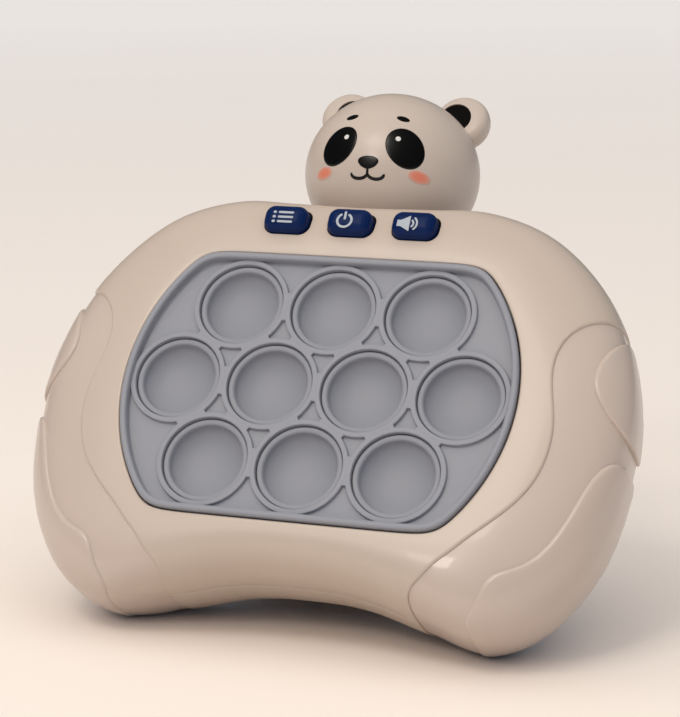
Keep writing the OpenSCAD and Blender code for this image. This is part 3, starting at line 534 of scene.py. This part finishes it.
# Rear cover
# The rear half of the body is moulded in the same satin plastic. The battery housing stands out of its
# flat back and carries the leaning body; screws go in through round wells and the speaker sounds
# through a group of small holes.
cells_low, cells_high = panel_box("battery_cells")
housing_y = (cells_low[1] + cells_high[1]) / 2
housing_half_w = 30.4
housing_half_h = 25.3
housing_back = -67
housing_corner = 4
housing_soft = 0.6
housing_wall = 2
rebate = 0.9
door_t = 2
root_z = back_z + wall / 2
lug_r = 3.8
lug_out = 2.2
well_r = 2.9
well_wall = 1.2
well_len = 8
well_top = part_z - 0.5
well_floor = part_z - well_len
case_screw_at = [(x * s, y) for x, y in ((57, 11), (49.5, -32), (36.5, 44.5)) for s in (-1, 1)]
speaker_at = (44, -6)
grille_pitch = 3.6
grille_rings = 2
grille_r = 0.9


def rod(name, at, radius, low, high, steps=48):
    """A round rod or bore along the panel's depth."""
    bpy.ops.object.select_all(action="DESELECT")
    bpy.ops.mesh.primitive_cylinder_add(vertices=steps, radius=radius, depth=high - low)
    piece = bpy.context.object
    piece.name = name
    bpy.ops.object.mode_set(mode="EDIT")
    bpy.ops.transform.translate(value=(at[0], at[1], (low + high) / 2))
    bpy.ops.object.mode_set(mode="OBJECT")
    return piece


def soften_rim(piece, level, amount, steps=4):
    """Rounds the edges of a piece that lie in one level."""
    take(piece)
    bpy.ops.object.mode_set(mode="EDIT")
    bpy.ops.mesh.select_mode(type="EDGE")
    bpy.ops.mesh.select_all(action="DESELECT")
    bpy.ops.object.mode_set(mode="OBJECT")
    for edge in piece.data.edges:
        edge.select = all(abs(piece.data.vertices[v].co.z - level) < 1e-4 for v in edge.vertices)
    bpy.ops.object.mode_set(mode="EDIT")
    bpy.ops.mesh.bevel(offset=amount, segments=steps, affect="EDGES")
    bpy.ops.object.mode_set(mode="OBJECT")


def housing_block(name, half_w, half_h, low, high, corner):
    """A block on the battery housing's middle."""
    lower = (-half_w, housing_y - half_h, low)
    upper = (half_w, housing_y + half_h, high)
    return rounded_block(name, lower, upper, corner)


rear_cover = cover("rear_cover", -1)
housing = housing_block("housing", housing_half_w, housing_half_h, housing_back, root_z, housing_corner)
soften_rim(housing, housing_back, housing_soft)
cut(rear_cover, housing, "UNION")
lug_at = (0, housing_y + housing_half_h + lug_out)
cut(rear_cover, rod("lug_post", lug_at, lug_r, housing_back + door_t, root_z), "UNION")
for at in case_screw_at:
    cut(rear_cover, rod("well", at, well_r + well_wall, well_floor, well_top), "UNION")
inside_half_w = housing_half_w - housing_wall
inside_half_h = housing_half_h - housing_wall
rooms = (
    ("cells_room", 0, back_z, housing_corner / 2),
    ("door_room", rebate, housing_back + door_t, housing_corner))
for name, wider, deep, corner in rooms:
    cut(rear_cover, housing_block(name, inside_half_w + wider, inside_half_h + wider,
                                  housing_back - cut_past, deep, corner))
for at in case_screw_at:
    cut(rear_cover, rod("well_bore", at, well_r, back_z - 5 * cut_past, well_floor + cut_past))
for i in range(-grille_rings, grille_rings + 1):
    for j in range(-grille_rings, grille_rings + 1):
        if abs(i + j) <= grille_rings:
            at = np.add(speaker_at, grille_pitch * np.array((i + j / 2, j * math.sin(math.pi / 3))))
            cut(rear_cover, rod("sound_hole", at, grille_r, back_z - cut_past, back_z + wall + cut_past, 20))
cut(rear_cover, head_ball("head_room", head_gap))
stand_up(rear_cover, shell_finish)
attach(rear_cover, "case")
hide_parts("rear_shell")


# Grips
# A glossy cover wraps round each side of the body, let into it so that the shell's edge stands a little
# higher all round. Two smooth finger pads swell out of each one.
grip_recess = 0.6
grip_t = 1.2
grip_steps = 121
pad_rise = 0.9
tip_from = 9
tip_len = 0.8
tip_fall = 0.35
fit_share = 1.002
pad_section = (
    (0, 1), (0.15, 1), (0.3, 1), (0.45, 1), (0.6, 1), (0.75, 1), (0.88, 1), (0.94, 0.99), (0.965, 0.95),
    (0.982, 0.84), (0.992, 0.66), (0.998, 0.4), (1, 0.1), (1, -0.6), (0.7, -0.6), (0.35, -0.6), (0, -0.6))


def finger_pad(name, middle, half, front_deg, rear_deg, power, bulge_deg=0, bulge_at=0, bulge_len=1):
    """A raised pad as a closed skin: rings from its middle out to a crisp rounded edge, closed inside
    the grip. Its outline is a rounded lens in outline position and section angle; the front edge may
    bulge."""
    a = np.linspace(0, 2 * math.pi, 241)
    t = middle + half * np.sign(np.cos(a)) * np.abs(np.cos(a)) ** (2 / power)
    reach = front_deg + bulge_deg * np.exp(-(((t - bulge_at) / bulge_len) ** 2))
    f = np.where(np.sin(a) >= 0, reach, -rear_deg) * np.abs(np.sin(a)) ** (2 / power)
    rows = []
    for share, height in pad_section:
        along = middle + share * (t - middle)
        rise = pad_rise * (1 - tip_fall * np.clip((along - tip_from) / tip_len, 0, 1))
        rows.append(skin(along, share * f, grip_recess - rise * height))
    return loft(name, np.array(rows))


def mirror_x(piece):
    """Turns a piece into its mirror image on the other side of the body."""
    take(piece)
    open_all()
    bpy.ops.transform.resize(value=(-1, 1, 1), center_override=(0, 0, 0))
    bpy.ops.mesh.normals_make_consistent(inside=False)
    bpy.ops.object.mode_set(mode="OBJECT")


def join(pieces, name):
    """Joins pieces into one object."""
    bpy.ops.object.select_all(action="DESELECT")
    for piece in pieces:
        piece.select_set(True)
    bpy.context.view_layer.objects.active = pieces[0]
    bpy.ops.object.join()
    pieces[0].name = name
    return pieces[0]


def thicken(piece, thickness):
    """Gives the active piece, a skin, a wall inwards."""
    bpy.ops.object.modifier_add(type="SOLIDIFY")
    modifier = piece.modifiers[-1]
    modifier.thickness = thickness
    modifier.offset = -1
    bpy.ops.object.modifier_apply(modifier=modifier.name)


grip_finish = moulded("polished_cream", (0.545, 0.445, 0.38), 0.3, grain=0.004, coat=0.3)
for side, label in ((-1, "left"), (1, "right")):
    u, v = np.meshgrid(np.linspace(-1, 1, grip_steps), np.linspace(-1, 1, grip_steps))
    square = np.maximum(np.abs(u), np.abs(v))
    power = np.where(u < 0, grip_top_power, grip_low_power)
    disc = (np.abs(u) ** power + np.abs(v) ** power) ** (1 / power)
    ease = fit_share * np.divide(square, disc, out=np.ones_like(square), where=disc > 0)
    t = grip_mid + grip_half * u * ease
    f = np.where(v >= 0, grip_reach(t, 1), grip_rear_deg) * v * ease
    grip = loft(f"{label}_grip_cover", skin(t, f, grip_recess))
    if sum(face.normal.x for face in grip.data.polygons) < 0:
        grip.data.flip_normals()
    thicken(grip, grip_t)
    upper = finger_pad("upper_pad", middle=5.86, half=0.76, front_deg=53, rear_deg=40, power=1.9)
    lower = finger_pad("lower_pad", middle=8.53, half=1.63, front_deg=47, rear_deg=44, power=3.5,
                       bulge_deg=12, bulge_at=9.25, bulge_len=0.5)
    grip = join([grip, upper, lower], f"{label}_grip_cover")
    if side < 0:
        mirror_x(grip)
    stand_up(grip, grip_finish, 40)
    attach(grip, "case")
    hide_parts(f"{label}_grip")


# Head
# A hollow round head of cream plastic in two halves sits on the body's top edge; the rear half carries the
# ears, with a black disc in each. Eyes, nose, mouth, brows and cheeks are thin prints on the front half.
head_wall = 2
ear_out = 16.3
ear_up = 17.7
ear_back = 1.8
ear_r = 7.6
ear_t = 3.4
ear_rear_soft = 3.2
ear_front_soft = 3.0
hollow_in = 1.4
hollow_r = 4.4
hollow_depth = 1.5


def softened(corners, steps=5):
    """A line through corners given as (across, along, softness), each rounded off by its softness."""
    line = []
    for k, (x, y, soft) in enumerate(corners):
        here = np.array((x, y), float)
        if soft == 0:
            line.append(here)
            continue
        before = np.array(corners[k - 1][:2], float) - here
        after = np.array(corners[(k + 1) % len(corners)][:2], float) - here
        start = here + before * min(soft / np.linalg.norm(before), 0.49)
        end = here + after * min(soft / np.linalg.norm(after), 0.49)
        for share in np.linspace(0, 1, steps + 1):
            line.append((1 - share) ** 2 * start + 2 * share * (1 - share) * here + share**2 * end)
    return line


def turned(name, outline, at, level=0, steps=96):
    """A turned piece: a closed outline of (radius, height) points spun once round the upright axis."""
    bpy.ops.object.select_all(action="DESELECT")
    bpy.ops.mesh.primitive_circle_add(vertices=len(outline), radius=1)
    piece = bpy.context.object
    piece.name = name
    for vertex, (radius, height) in zip(piece.data.vertices, outline):
        vertex.co = (at[0] + max(radius, 0), at[1], level + height)
    open_all()
    bpy.ops.mesh.spin(steps=steps, angle=2 * math.pi, center=(at[0], at[1], 0), axis=(0, 0, 1))
    bpy.ops.mesh.select_all(action="SELECT")
    bpy.ops.mesh.remove_doubles(threshold=merge_gap)
    bpy.ops.mesh.delete_loose()
    bpy.ops.mesh.select_all(action="SELECT")
    bpy.ops.mesh.normals_make_consistent(inside=False)
    bpy.ops.object.mode_set(mode="OBJECT")
    return piece


head_cream = (0.535, 0.447, 0.38)
head_finish = moulded("head_cream", head_cream, 0.36, coat=0.08)
halves = {}
for side, label in ((1, "front"), (-1, "rear")):
    half = head_ball(f"head_{label}_half", 0)
    open_all()
    bpy.ops.mesh.bisect(plane_co=head_centre, plane_no=(0, 0, side), clear_inner=True)
    bpy.ops.object.mode_set(mode="OBJECT")
    thicken(half, head_wall)
    halves[label] = half
ear_outline = softened([
    (0, -ear_t, 0), (ear_r, -ear_t, ear_rear_soft), (ear_r, ear_t, ear_front_soft), (0, ear_t, 0)], 8)
ear_z = head_centre[2] - ear_back
ear_floor = ear_z + ear_t - hollow_depth
for side in (-1, 1):
    at = np.array([side * ear_out, head_centre[1] + ear_up])
    ear = turned("ear", ear_outline, at, ear_z)
    cut(ear, head_ball("head_inside", -head_wall / 2))
    hollow_at = at - (side * hollow_in, 0)
    cut(ear, rod("hollow", hollow_at, hollow_r, ear_floor, ear_floor + 10, 64))
    join([halves["rear"], ear], "head_rear_half")
for label, half in halves.items():
    stand_up(half, head_finish, 40)
    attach(half, "case")
    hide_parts(f"head_{label}")


def head_point(x, y, lift):
    """A point on the head's front, at x and y from its middle, lifted off its surface."""
    depth = head_r * np.sqrt(np.clip(1 - (x / head_half_w) ** 2 - (y / head_r) ** 2, 0, 1))
    normal = np.stack([x / head_half_w**2, y / head_r**2, depth / head_r**2], -1)
    normal = normal / np.linalg.norm(normal, axis=-1, keepdims=True)
    return head_centre + np.stack([x, y, depth], -1) + normal * np.asarray(lift)[..., None]


print_section = (
    (0.0, 1.0), (0.3, 1.0), (0.6, 1.0), (0.85, 1.0), (0.94, 0.9), (0.985, 0.5), (1.0, 0.0), (1.0, -1.0),
    (0.6, -1.0), (0.0, -1.0))


def print_on_head(name, middle, loop, thickness, material):
    """A closed print on the head: rings from its middle out to its edge, rounded over and closed below."""
    loop = np.concatenate([loop, loop[:1]])
    rows = []
    for share, lift in print_section:
        x = middle[0] + share * (loop[:, 0] - middle[0])
        y = middle[1] + share * (loop[:, 1] - middle[1])
        rows.append(head_point(x, y, np.full(len(loop), thickness * lift)))
    piece = loft(name, np.array(rows))
    stand_up(piece, material, 60)
    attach(piece, "case")


def oval(middle, half_x, half_y, turn_deg, points=64):
    """Points round a turned oval."""
    a = np.linspace(0, 2 * math.pi, points, endpoint=False)
    x = half_x * np.cos(a)
    y = half_y * np.sin(a)
    c, s = math.cos(math.radians(turn_deg)), math.sin(math.radians(turn_deg))
    return np.stack([middle[0] + c * x - s * y, middle[1] + s * x + c * y], -1)


black = (0.0015, 0.001, 0.0006)
ink_black = moulded("print_black", black, 0.3, mottle=0.2, grain=0.0, shine=0.4)
ink_white = moulded("print_white", (0.67, 0.65, 0.62), 0.3, grain=0.0)
ink_coral = moulded("print_coral", (0.70, 0.205, 0.122), 0.4, grain=0.0)
full_to = 0.15
gone_from = 0.55
nodes, links = ink_coral.node_tree.nodes, ink_coral.node_tree.links
shader = nodes["Principled BSDF"]
over = nodes.new("ShaderNodeTexCoord")
ring = nodes.new("ShaderNodeSeparateXYZ")
spray = nodes.new("ShaderNodeMapRange")
spray.inputs["From Min"].default_value = full_to
spray.inputs["From Max"].default_value = gone_from
blush = nodes.new("ShaderNodeMix")
blush.data_type = "RGBA"
blush.inputs["B"].default_value = (*head_cream, 1)
links.new(over.outputs["UV"], ring.inputs["Vector"])
links.new(ring.outputs["Y"], spray.inputs["Value"])
links.new(spray.outputs["Result"], blush.inputs["Factor"])
links.new(shader.inputs["Base Color"].links[0].from_socket, blush.inputs["A"])
links.new(blush.outputs["Result"], shader.inputs["Base Color"])
# Each paired print's name, place, half sizes, turn in degrees, thickness and ink, on the right side
paired_prints = (
    ("eye", 9.0, -2.86, 4.73, 5.67, 32.7, 0.14, ink_black),
    ("glint", 7.1, -0.9, 0.7, 0.7, 0, 0.24, ink_white),
    ("cheek", 13.1, -9.2, 2.8, 1.55, 6, 0.07, ink_coral),
    ("brow", 7.05, 5.65, 1.75, 0.85, -10, 0.08, ink_black))
for side, label in ((-1, "left"), (1, "right")):
    for name, out_x, y, half_x, half_y, turn_deg, thickness, ink in paired_prints:
        at = (side * out_x, y)
        print_on_head(f"{label}_{name}", at, oval(at, half_x, half_y, side * turn_deg), thickness, ink)
nose_at = (0, -7.9)
nose_taper = 0.14
nose = oval(nose_at, 2.75, 1.62, 0)
nose[:, 0] *= 1 + nose_taper * (nose[:, 1] - nose_at[1])
print_on_head("nose", nose_at, nose, 0.2, ink_black)
lip_w = 2.25
lip_h = 1.25
lip_y = -10.5
lip = np.linspace(-math.pi, 0.12, 25)
mouth_right = np.stack([lip_w + lip_w * np.cos(lip), lip_y + lip_h * np.sin(lip)], -1)
mouth = np.concatenate([mouth_right[:0:-1] * (-1, 1), mouth_right])
stem_y = -8.9
stem_len = 1.8
stem = np.stack([np.zeros(9), np.linspace(stem_y, stem_y - stem_len, 9)], -1)
line_section = ((-1, -1.0), (-1, 0.0), (-0.8, 0.7), (0, 1.0), (0.8, 0.7), (1, 0.0), (1, -1.0), (-1, -1.0))


def directions(path):
    """Unit steps ahead and to the left at each point of a flat path."""
    ahead = np.gradient(path, axis=0)
    ahead /= np.linalg.norm(ahead, axis=1, keepdims=True)
    return ahead, np.stack([-ahead[:, 1], ahead[:, 0]], -1)


def line_on_head(name, path, width, thickness, material):
    """A printed line on the head: a band of even width along a path, closed below, with tapered ends."""
    ahead, left = directions(path)
    run = np.linspace(-1, 1, len(path))
    half = (width / 2 * np.clip(1 - np.abs(run) ** 14, 0.02, 1) ** 0.5)[:, None]
    rows = []
    for share, lift in line_section:
        edge = path + left * half * share
        rows.append(head_point(edge[:, 0], edge[:, 1], np.full(len(path), thickness * lift)))
    piece = loft(name, np.array(rows))
    open_all()
    bpy.ops.mesh.fill_holes(sides=0)
    bpy.ops.mesh.normals_make_consistent(inside=False)
    bpy.ops.object.mode_set(mode="OBJECT")
    stand_up(piece, material, 60)
    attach(piece, "case")


line_on_head("mouth", mouth, 0.8, 0.1, ink_black)
line_on_head("mouth_stem", stem, 0.7, 0.1, ink_black)
disc_gap = 0.05
disc_sunk = 0.3
disc_rise = 1.0
ear_black = moulded("ear_black", black, 0.6, mottle=0.2, shine=0.1)
for side, label in ((-1, "left"), (1, "right")):
    at = (side * (ear_out - hollow_in), head_centre[1] + ear_up)
    disc = rod(f"{label}_ear_disc", at, hollow_r - disc_gap, ear_floor - disc_sunk, ear_floor + disc_rise, 64)
    cut(disc, head_ball("head_room", 0))
    stand_up(disc, ear_black, 40)
    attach(disc, "case")


# Bubble mat
# One soft grey-blue silicone moulding fills the panel opening: a raised round rim, a flat field and ten
# stepped rings, fused where they touch. It is clamped behind the front cover.
rim_w = 1.9
rim_gap = 0.35
field_z = -1.0
mat_under = -3.4
ring_out = 12.7
ring_in = 11.3
ledge_z = -1.0
bubble_pitch = 25
row_rise = bubble_pitch * math.sin(math.pi / 3)
bubble_rows = ((1, (-1, 0, 1)), (0, (-1.5, -0.5, 0.5, 1.5)), (-1, (-1, 0, 1)))
bubble_at = [(i * bubble_pitch, j * row_rise) for j, row in bubble_rows for i in row]
loop_steps = 360
foot = 0.05


def panel_loop(grow):
    """Points round the panel opening's edge, grown outwards, with the first point repeated."""
    a = np.linspace(0, 2 * math.pi, loop_steps + 1)
    radius = opening_radius(a, grow)
    return np.stack([radius * np.cos(a), radius * np.sin(a)], -1)


silicone = moulded("silicone", (0.264, 0.27, 0.303), 0.5, mottle=0.02, grain=0.05)
rim_line = softened([
    (-rim_gap, mat_under, 0), (-rim_gap, rim_rise, 0.8), (-rim_gap - rim_w + 0.15, rim_rise, 0.8),
    (-rim_gap - rim_w, field_z, 0.35), (-rim_gap - rim_w - 1, field_z - foot, 0),
    (-rim_gap - rim_w - 1, mat_under, 0)])
rim_rows = [np.concatenate([panel_loop(g), np.full((loop_steps + 1, 1), z)], 1)
            for g, z in rim_line + rim_line[:1]]
rim = loft("rim", np.array(rim_rows))
ring_outline = softened([
    (ring_in, mat_under, 0), (ring_in, 0, 0.3), (ring_out, 0, 0.3), (ring_out + 0.05, field_z, 0.25),
    (ring_out + 0.6, field_z - foot, 0), (ring_out + 0.6, mat_under, 0)])
rings = [turned("ring", ring_outline, at) for at in bubble_at]


def stroke(path, width, steps=12):
    """Points round a line of even width with round ends along a path."""
    path = np.array(path, float)
    ahead, left = directions(path)
    turn = np.linspace(0, math.pi, steps)[1:-1, None]
    end = path[-1] + width / 2 * (np.cos(turn) * -left[-1] + np.sin(turn) * ahead[-1])
    start = path[0] + width / 2 * (np.cos(turn) * left[0] - np.sin(turn) * ahead[0])
    return np.concatenate([path - left * width / 2, end, path[::-1] + left[::-1] * width / 2, start])


def raised_shape(loop, low, high):
    """A flat shape: a filled outline, raised from one level to another."""
    bpy.ops.object.select_all(action="DESELECT")
    bpy.ops.mesh.primitive_circle_add(vertices=len(loop), radius=1, fill_type="NGON")
    shape = bpy.context.object
    for vertex, (x, y) in zip(shape.data.vertices, loop):
        vertex.co = (x, y, low)
    open_all()
    bpy.ops.mesh.extrude_region_move(TRANSFORM_OT_translate={"value": (0, 0, high - low)})
    bpy.ops.mesh.select_all(action="SELECT")
    bpy.ops.mesh.normals_make_consistent(inside=False)
    bpy.ops.object.mode_set(mode="OBJECT")
    return shape


field = raised_shape(panel_loop(-rim_gap - rim_w / 2)[:-1], mat_under, field_z)
for at in bubble_at:
    cut(field, rod("bubble_hole", at, (ring_in + ring_out) / 2, mat_under - cut_past, field_z + cut_past, 96))
web_half = 3.9
web_r = 12.0
web_z = -0.02
web_soft = 0.2
webs = []
for k, one in enumerate(bubble_at):
    for other in bubble_at[k + 1:]:
        gap = np.subtract(other, one)
        if np.hypot(*gap) < 1.1 * bubble_pitch:
            across_gap = gap / np.hypot(*gap)
            along_gap = np.array([-across_gap[1], across_gap[0]])
            run = np.linspace(-web_half, web_half, 17)[:, None]
            along = run * along_gap
            side = (bubble_pitch / 2 - np.sqrt(web_r**2 - run**2)) * across_gap
            middle = np.add(one, other) / 2
            edge = np.concatenate([along + side, (along - side)[::-1]])
            web = raised_shape(middle + edge, mat_under, web_z)
            soften_rim(web, web_z, web_soft, 3)
            webs.append(web)
mat = join([field, rim] + rings + webs, "mat")
stand_up(mat, silicone, 40)
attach(mat, "case")
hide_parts("bubble_mat")


# Bubbles
# Each bubble is a concave silicone dish that hangs in its ring by a thin ledge, with a skirt below it.
dish_r = 9.65
dish_depth = 4.7
dish_t = 1.1
dish_power = 0.8
dish_lip = 0.15
skirt_r = 6
skirt_t = 1.3
skirt_in = skirt_r - skirt_t
skirt_end = -8.9
hold_r = 12.0
hold_top = -1.9
hold_under = -2.6
slot_r = ring_in - 0.25
dish_angles = np.radians(np.linspace(14, 90, 22))
dish_radii = dish_r * np.cos(dish_angles).round(9) ** dish_power
dish_heights = ledge_z - dish_lip - dish_depth * np.sin(dish_angles) ** dish_power
dish_top = np.stack([dish_radii, dish_heights], -1)
floor_z = dish_top[-1][1] - dish_t
dish_outline = softened([
    (hold_r, hold_under, 0), (hold_r, hold_top, 0), (slot_r, hold_top, 0), (slot_r, ledge_z, 0.3),
    (dish_r, ledge_z, 1.0), (*dish_top[0], 0)])
dish_outline += list(dish_top[1:])
dish_outline += [
    (0, floor_z), (skirt_in, floor_z + 0.1), (skirt_in, skirt_end), (skirt_r, skirt_end),
    (skirt_r, floor_z + 0.35), (8.6, -5.2), (10.0, -3.6), (10.5, hold_under)]
for number, at in enumerate(bubble_at, 1):
    dish = turned(f"dish_{number}", dish_outline, at)
    stand_up(dish, silicone, 50)
    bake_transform(dish)
    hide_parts(f"bubble_{number}")


# Function buttons
# Three hard navy caps with a bevelled top edge stand out of the strip over the panel, each with a printed
# silver symbol: a list, a power sign and a loudspeaker. A flange behind the cover keeps each cap in.
button_bevel = 0.75
side_gap = 0.35
flange_out = 1.2
flange_t = 1.2
flange_corner = 3.3
navy = moulded("navy_plastic", (0.001, 0.014, 0.08), 0.44, mottle=0.08, grain=0.01, shine=0.15)
silver_ink = moulded("print_silver", (0.36, 0.40, 0.45), 0.4, grain=0.0)


def arc(radius, from_deg, to_deg, steps=40):
    """Points along an arc round the symbol's middle."""
    a = np.radians(np.linspace(from_deg, to_deg, steps))
    return np.stack([radius * np.cos(a), radius * np.sin(a)], -1)


symbol_line = 0.62
dot_line = 0.7
wave_line = 0.5
list_rows = (1.35, 0, -1.35)
loudspeaker = np.array([(-3.2, -0.9), (-2.2, -0.9), (0.2, -2.2), (0.2, 2.2), (-2.2, 0.9), (-3.2, 0.9)])
symbol_at = {"menu": (-0.3, -0.55), "power": (-0.85, -0.7), "sound": (-0.9, -0.7)}
symbol_sunk = 0.05
symbol_rise = 0.04
symbols = {
    "menu": [stroke([(-2.5, y), (-2.3, y)], dot_line) for y in list_rows]
    + [stroke([(-1.1, y), (2.5, y)], symbol_line) for y in list_rows],
    "power": [stroke(arc(1.9, 125, 415), symbol_line), stroke([(0, 0.5), (0, 2.3)], symbol_line)],
    "sound": [loudspeaker, stroke(arc(1.15, -48, 48), wave_line), stroke(arc(2.1, -48, 48), wave_line)],
}
for key in key_names:
    low, high = key_boxes[key]
    flange_z = panel_box(f"{key}_button")[0][2]
    cap_z = flange_z + flange_t
    cap = rounded_block(f"{key}_cap", (low[0], low[1], cap_z), high - (side_gap, 0, 0), button_corner)
    soften_rim(cap, high[2], button_bevel, 5)
    flange_low = (low[0] - flange_out, low[1] - flange_out, flange_z)
    flange_high = (high[0] + flange_out, high[1] + flange_out, cap_z)
    flange = rounded_block("flange", flange_low, flange_high, flange_corner)
    cap = join([cap, flange], f"{key}_cap")
    stand_up(cap, navy, 40)
    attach(cap, f"{key}_key")
    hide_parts(f"{key}_button")
    middle = (low[:2] + high[:2]) / 2 + symbol_at[key]
    print_low = high[2] - symbol_sunk
    print_high = high[2] + symbol_rise
    marks = [raised_shape(loop + middle, print_low, print_high) for loop in symbols[key]]
    symbol = join(marks, f"{key}_symbol")
    stand_up(symbol, silver_ink, 40)
    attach(symbol, f"{key}_key")


# Inner pieces
# The CAD shapes of the frame, boards, switches, speaker, batteries, leads and screws stay as they are and
# take the finish of what they are made of.
inner_finish = {
    "carbon": moulded("carbon_pill", (0.02, 0.02, 0.022), 0.6),
    "frame_plastic": moulded("white_plastic", (0.72, 0.72, 0.70), 0.45),
    "circuit_board": moulded("green_board", (0.015, 0.14, 0.06), 0.3, mottle=0.15, coat=0.4),
    "led": moulded("clear_lens", (0.85, 0.85, 0.78), 0.15),
    "chip": moulded("chip_black", (0.015, 0.015, 0.016), 0.5),
    "socket": moulded("socket_white", (0.78, 0.76, 0.68), 0.45),
    "stem": moulded("stem_brown", (0.12, 0.05, 0.02), 0.4),
    "switch": moulded("switch_black", (0.02, 0.02, 0.022), 0.45),
    "ribbon": moulded("ribbon_grey", (0.45, 0.46, 0.47), 0.5),
    "speaker_metal": moulded("speaker_steel", (0.10, 0.10, 0.11), 0.4),
    "magnet": moulded("ferrite", (0.06, 0.06, 0.065), 0.5),
    "cone": moulded("paper_cone", (0.02, 0.02, 0.022), 0.8),
    "red_lead": moulded("red_wire", (0.45, 0.02, 0.015), 0.4),
    "black_lead": moulded("black_wire", (0.015, 0.015, 0.016), 0.4),
    "cell": moulded("cell_wrap", (0.45, 0.30, 0.07), 0.3, mottle=0.1),
    "contact_metal": moulded("plated_steel", (0.62, 0.62, 0.60), 0.3),
    "screw": moulded("zinc_steel", (0.55, 0.55, 0.56), 0.35),
    "shell": shell_finish,
}
for metal in ("contact_metal", "screw"):
    inner_finish[metal].node_tree.nodes["Principled BSDF"].inputs["Metallic"].default_value = 1

for part in frame["record"]["subparts"]:
    if part["material_slot"] in inner_finish:
        node = frame["nodes"][part["node"]]
        for place in node.material_slots:
            place.material = inner_finish[part["material_slot"]]


low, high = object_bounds()
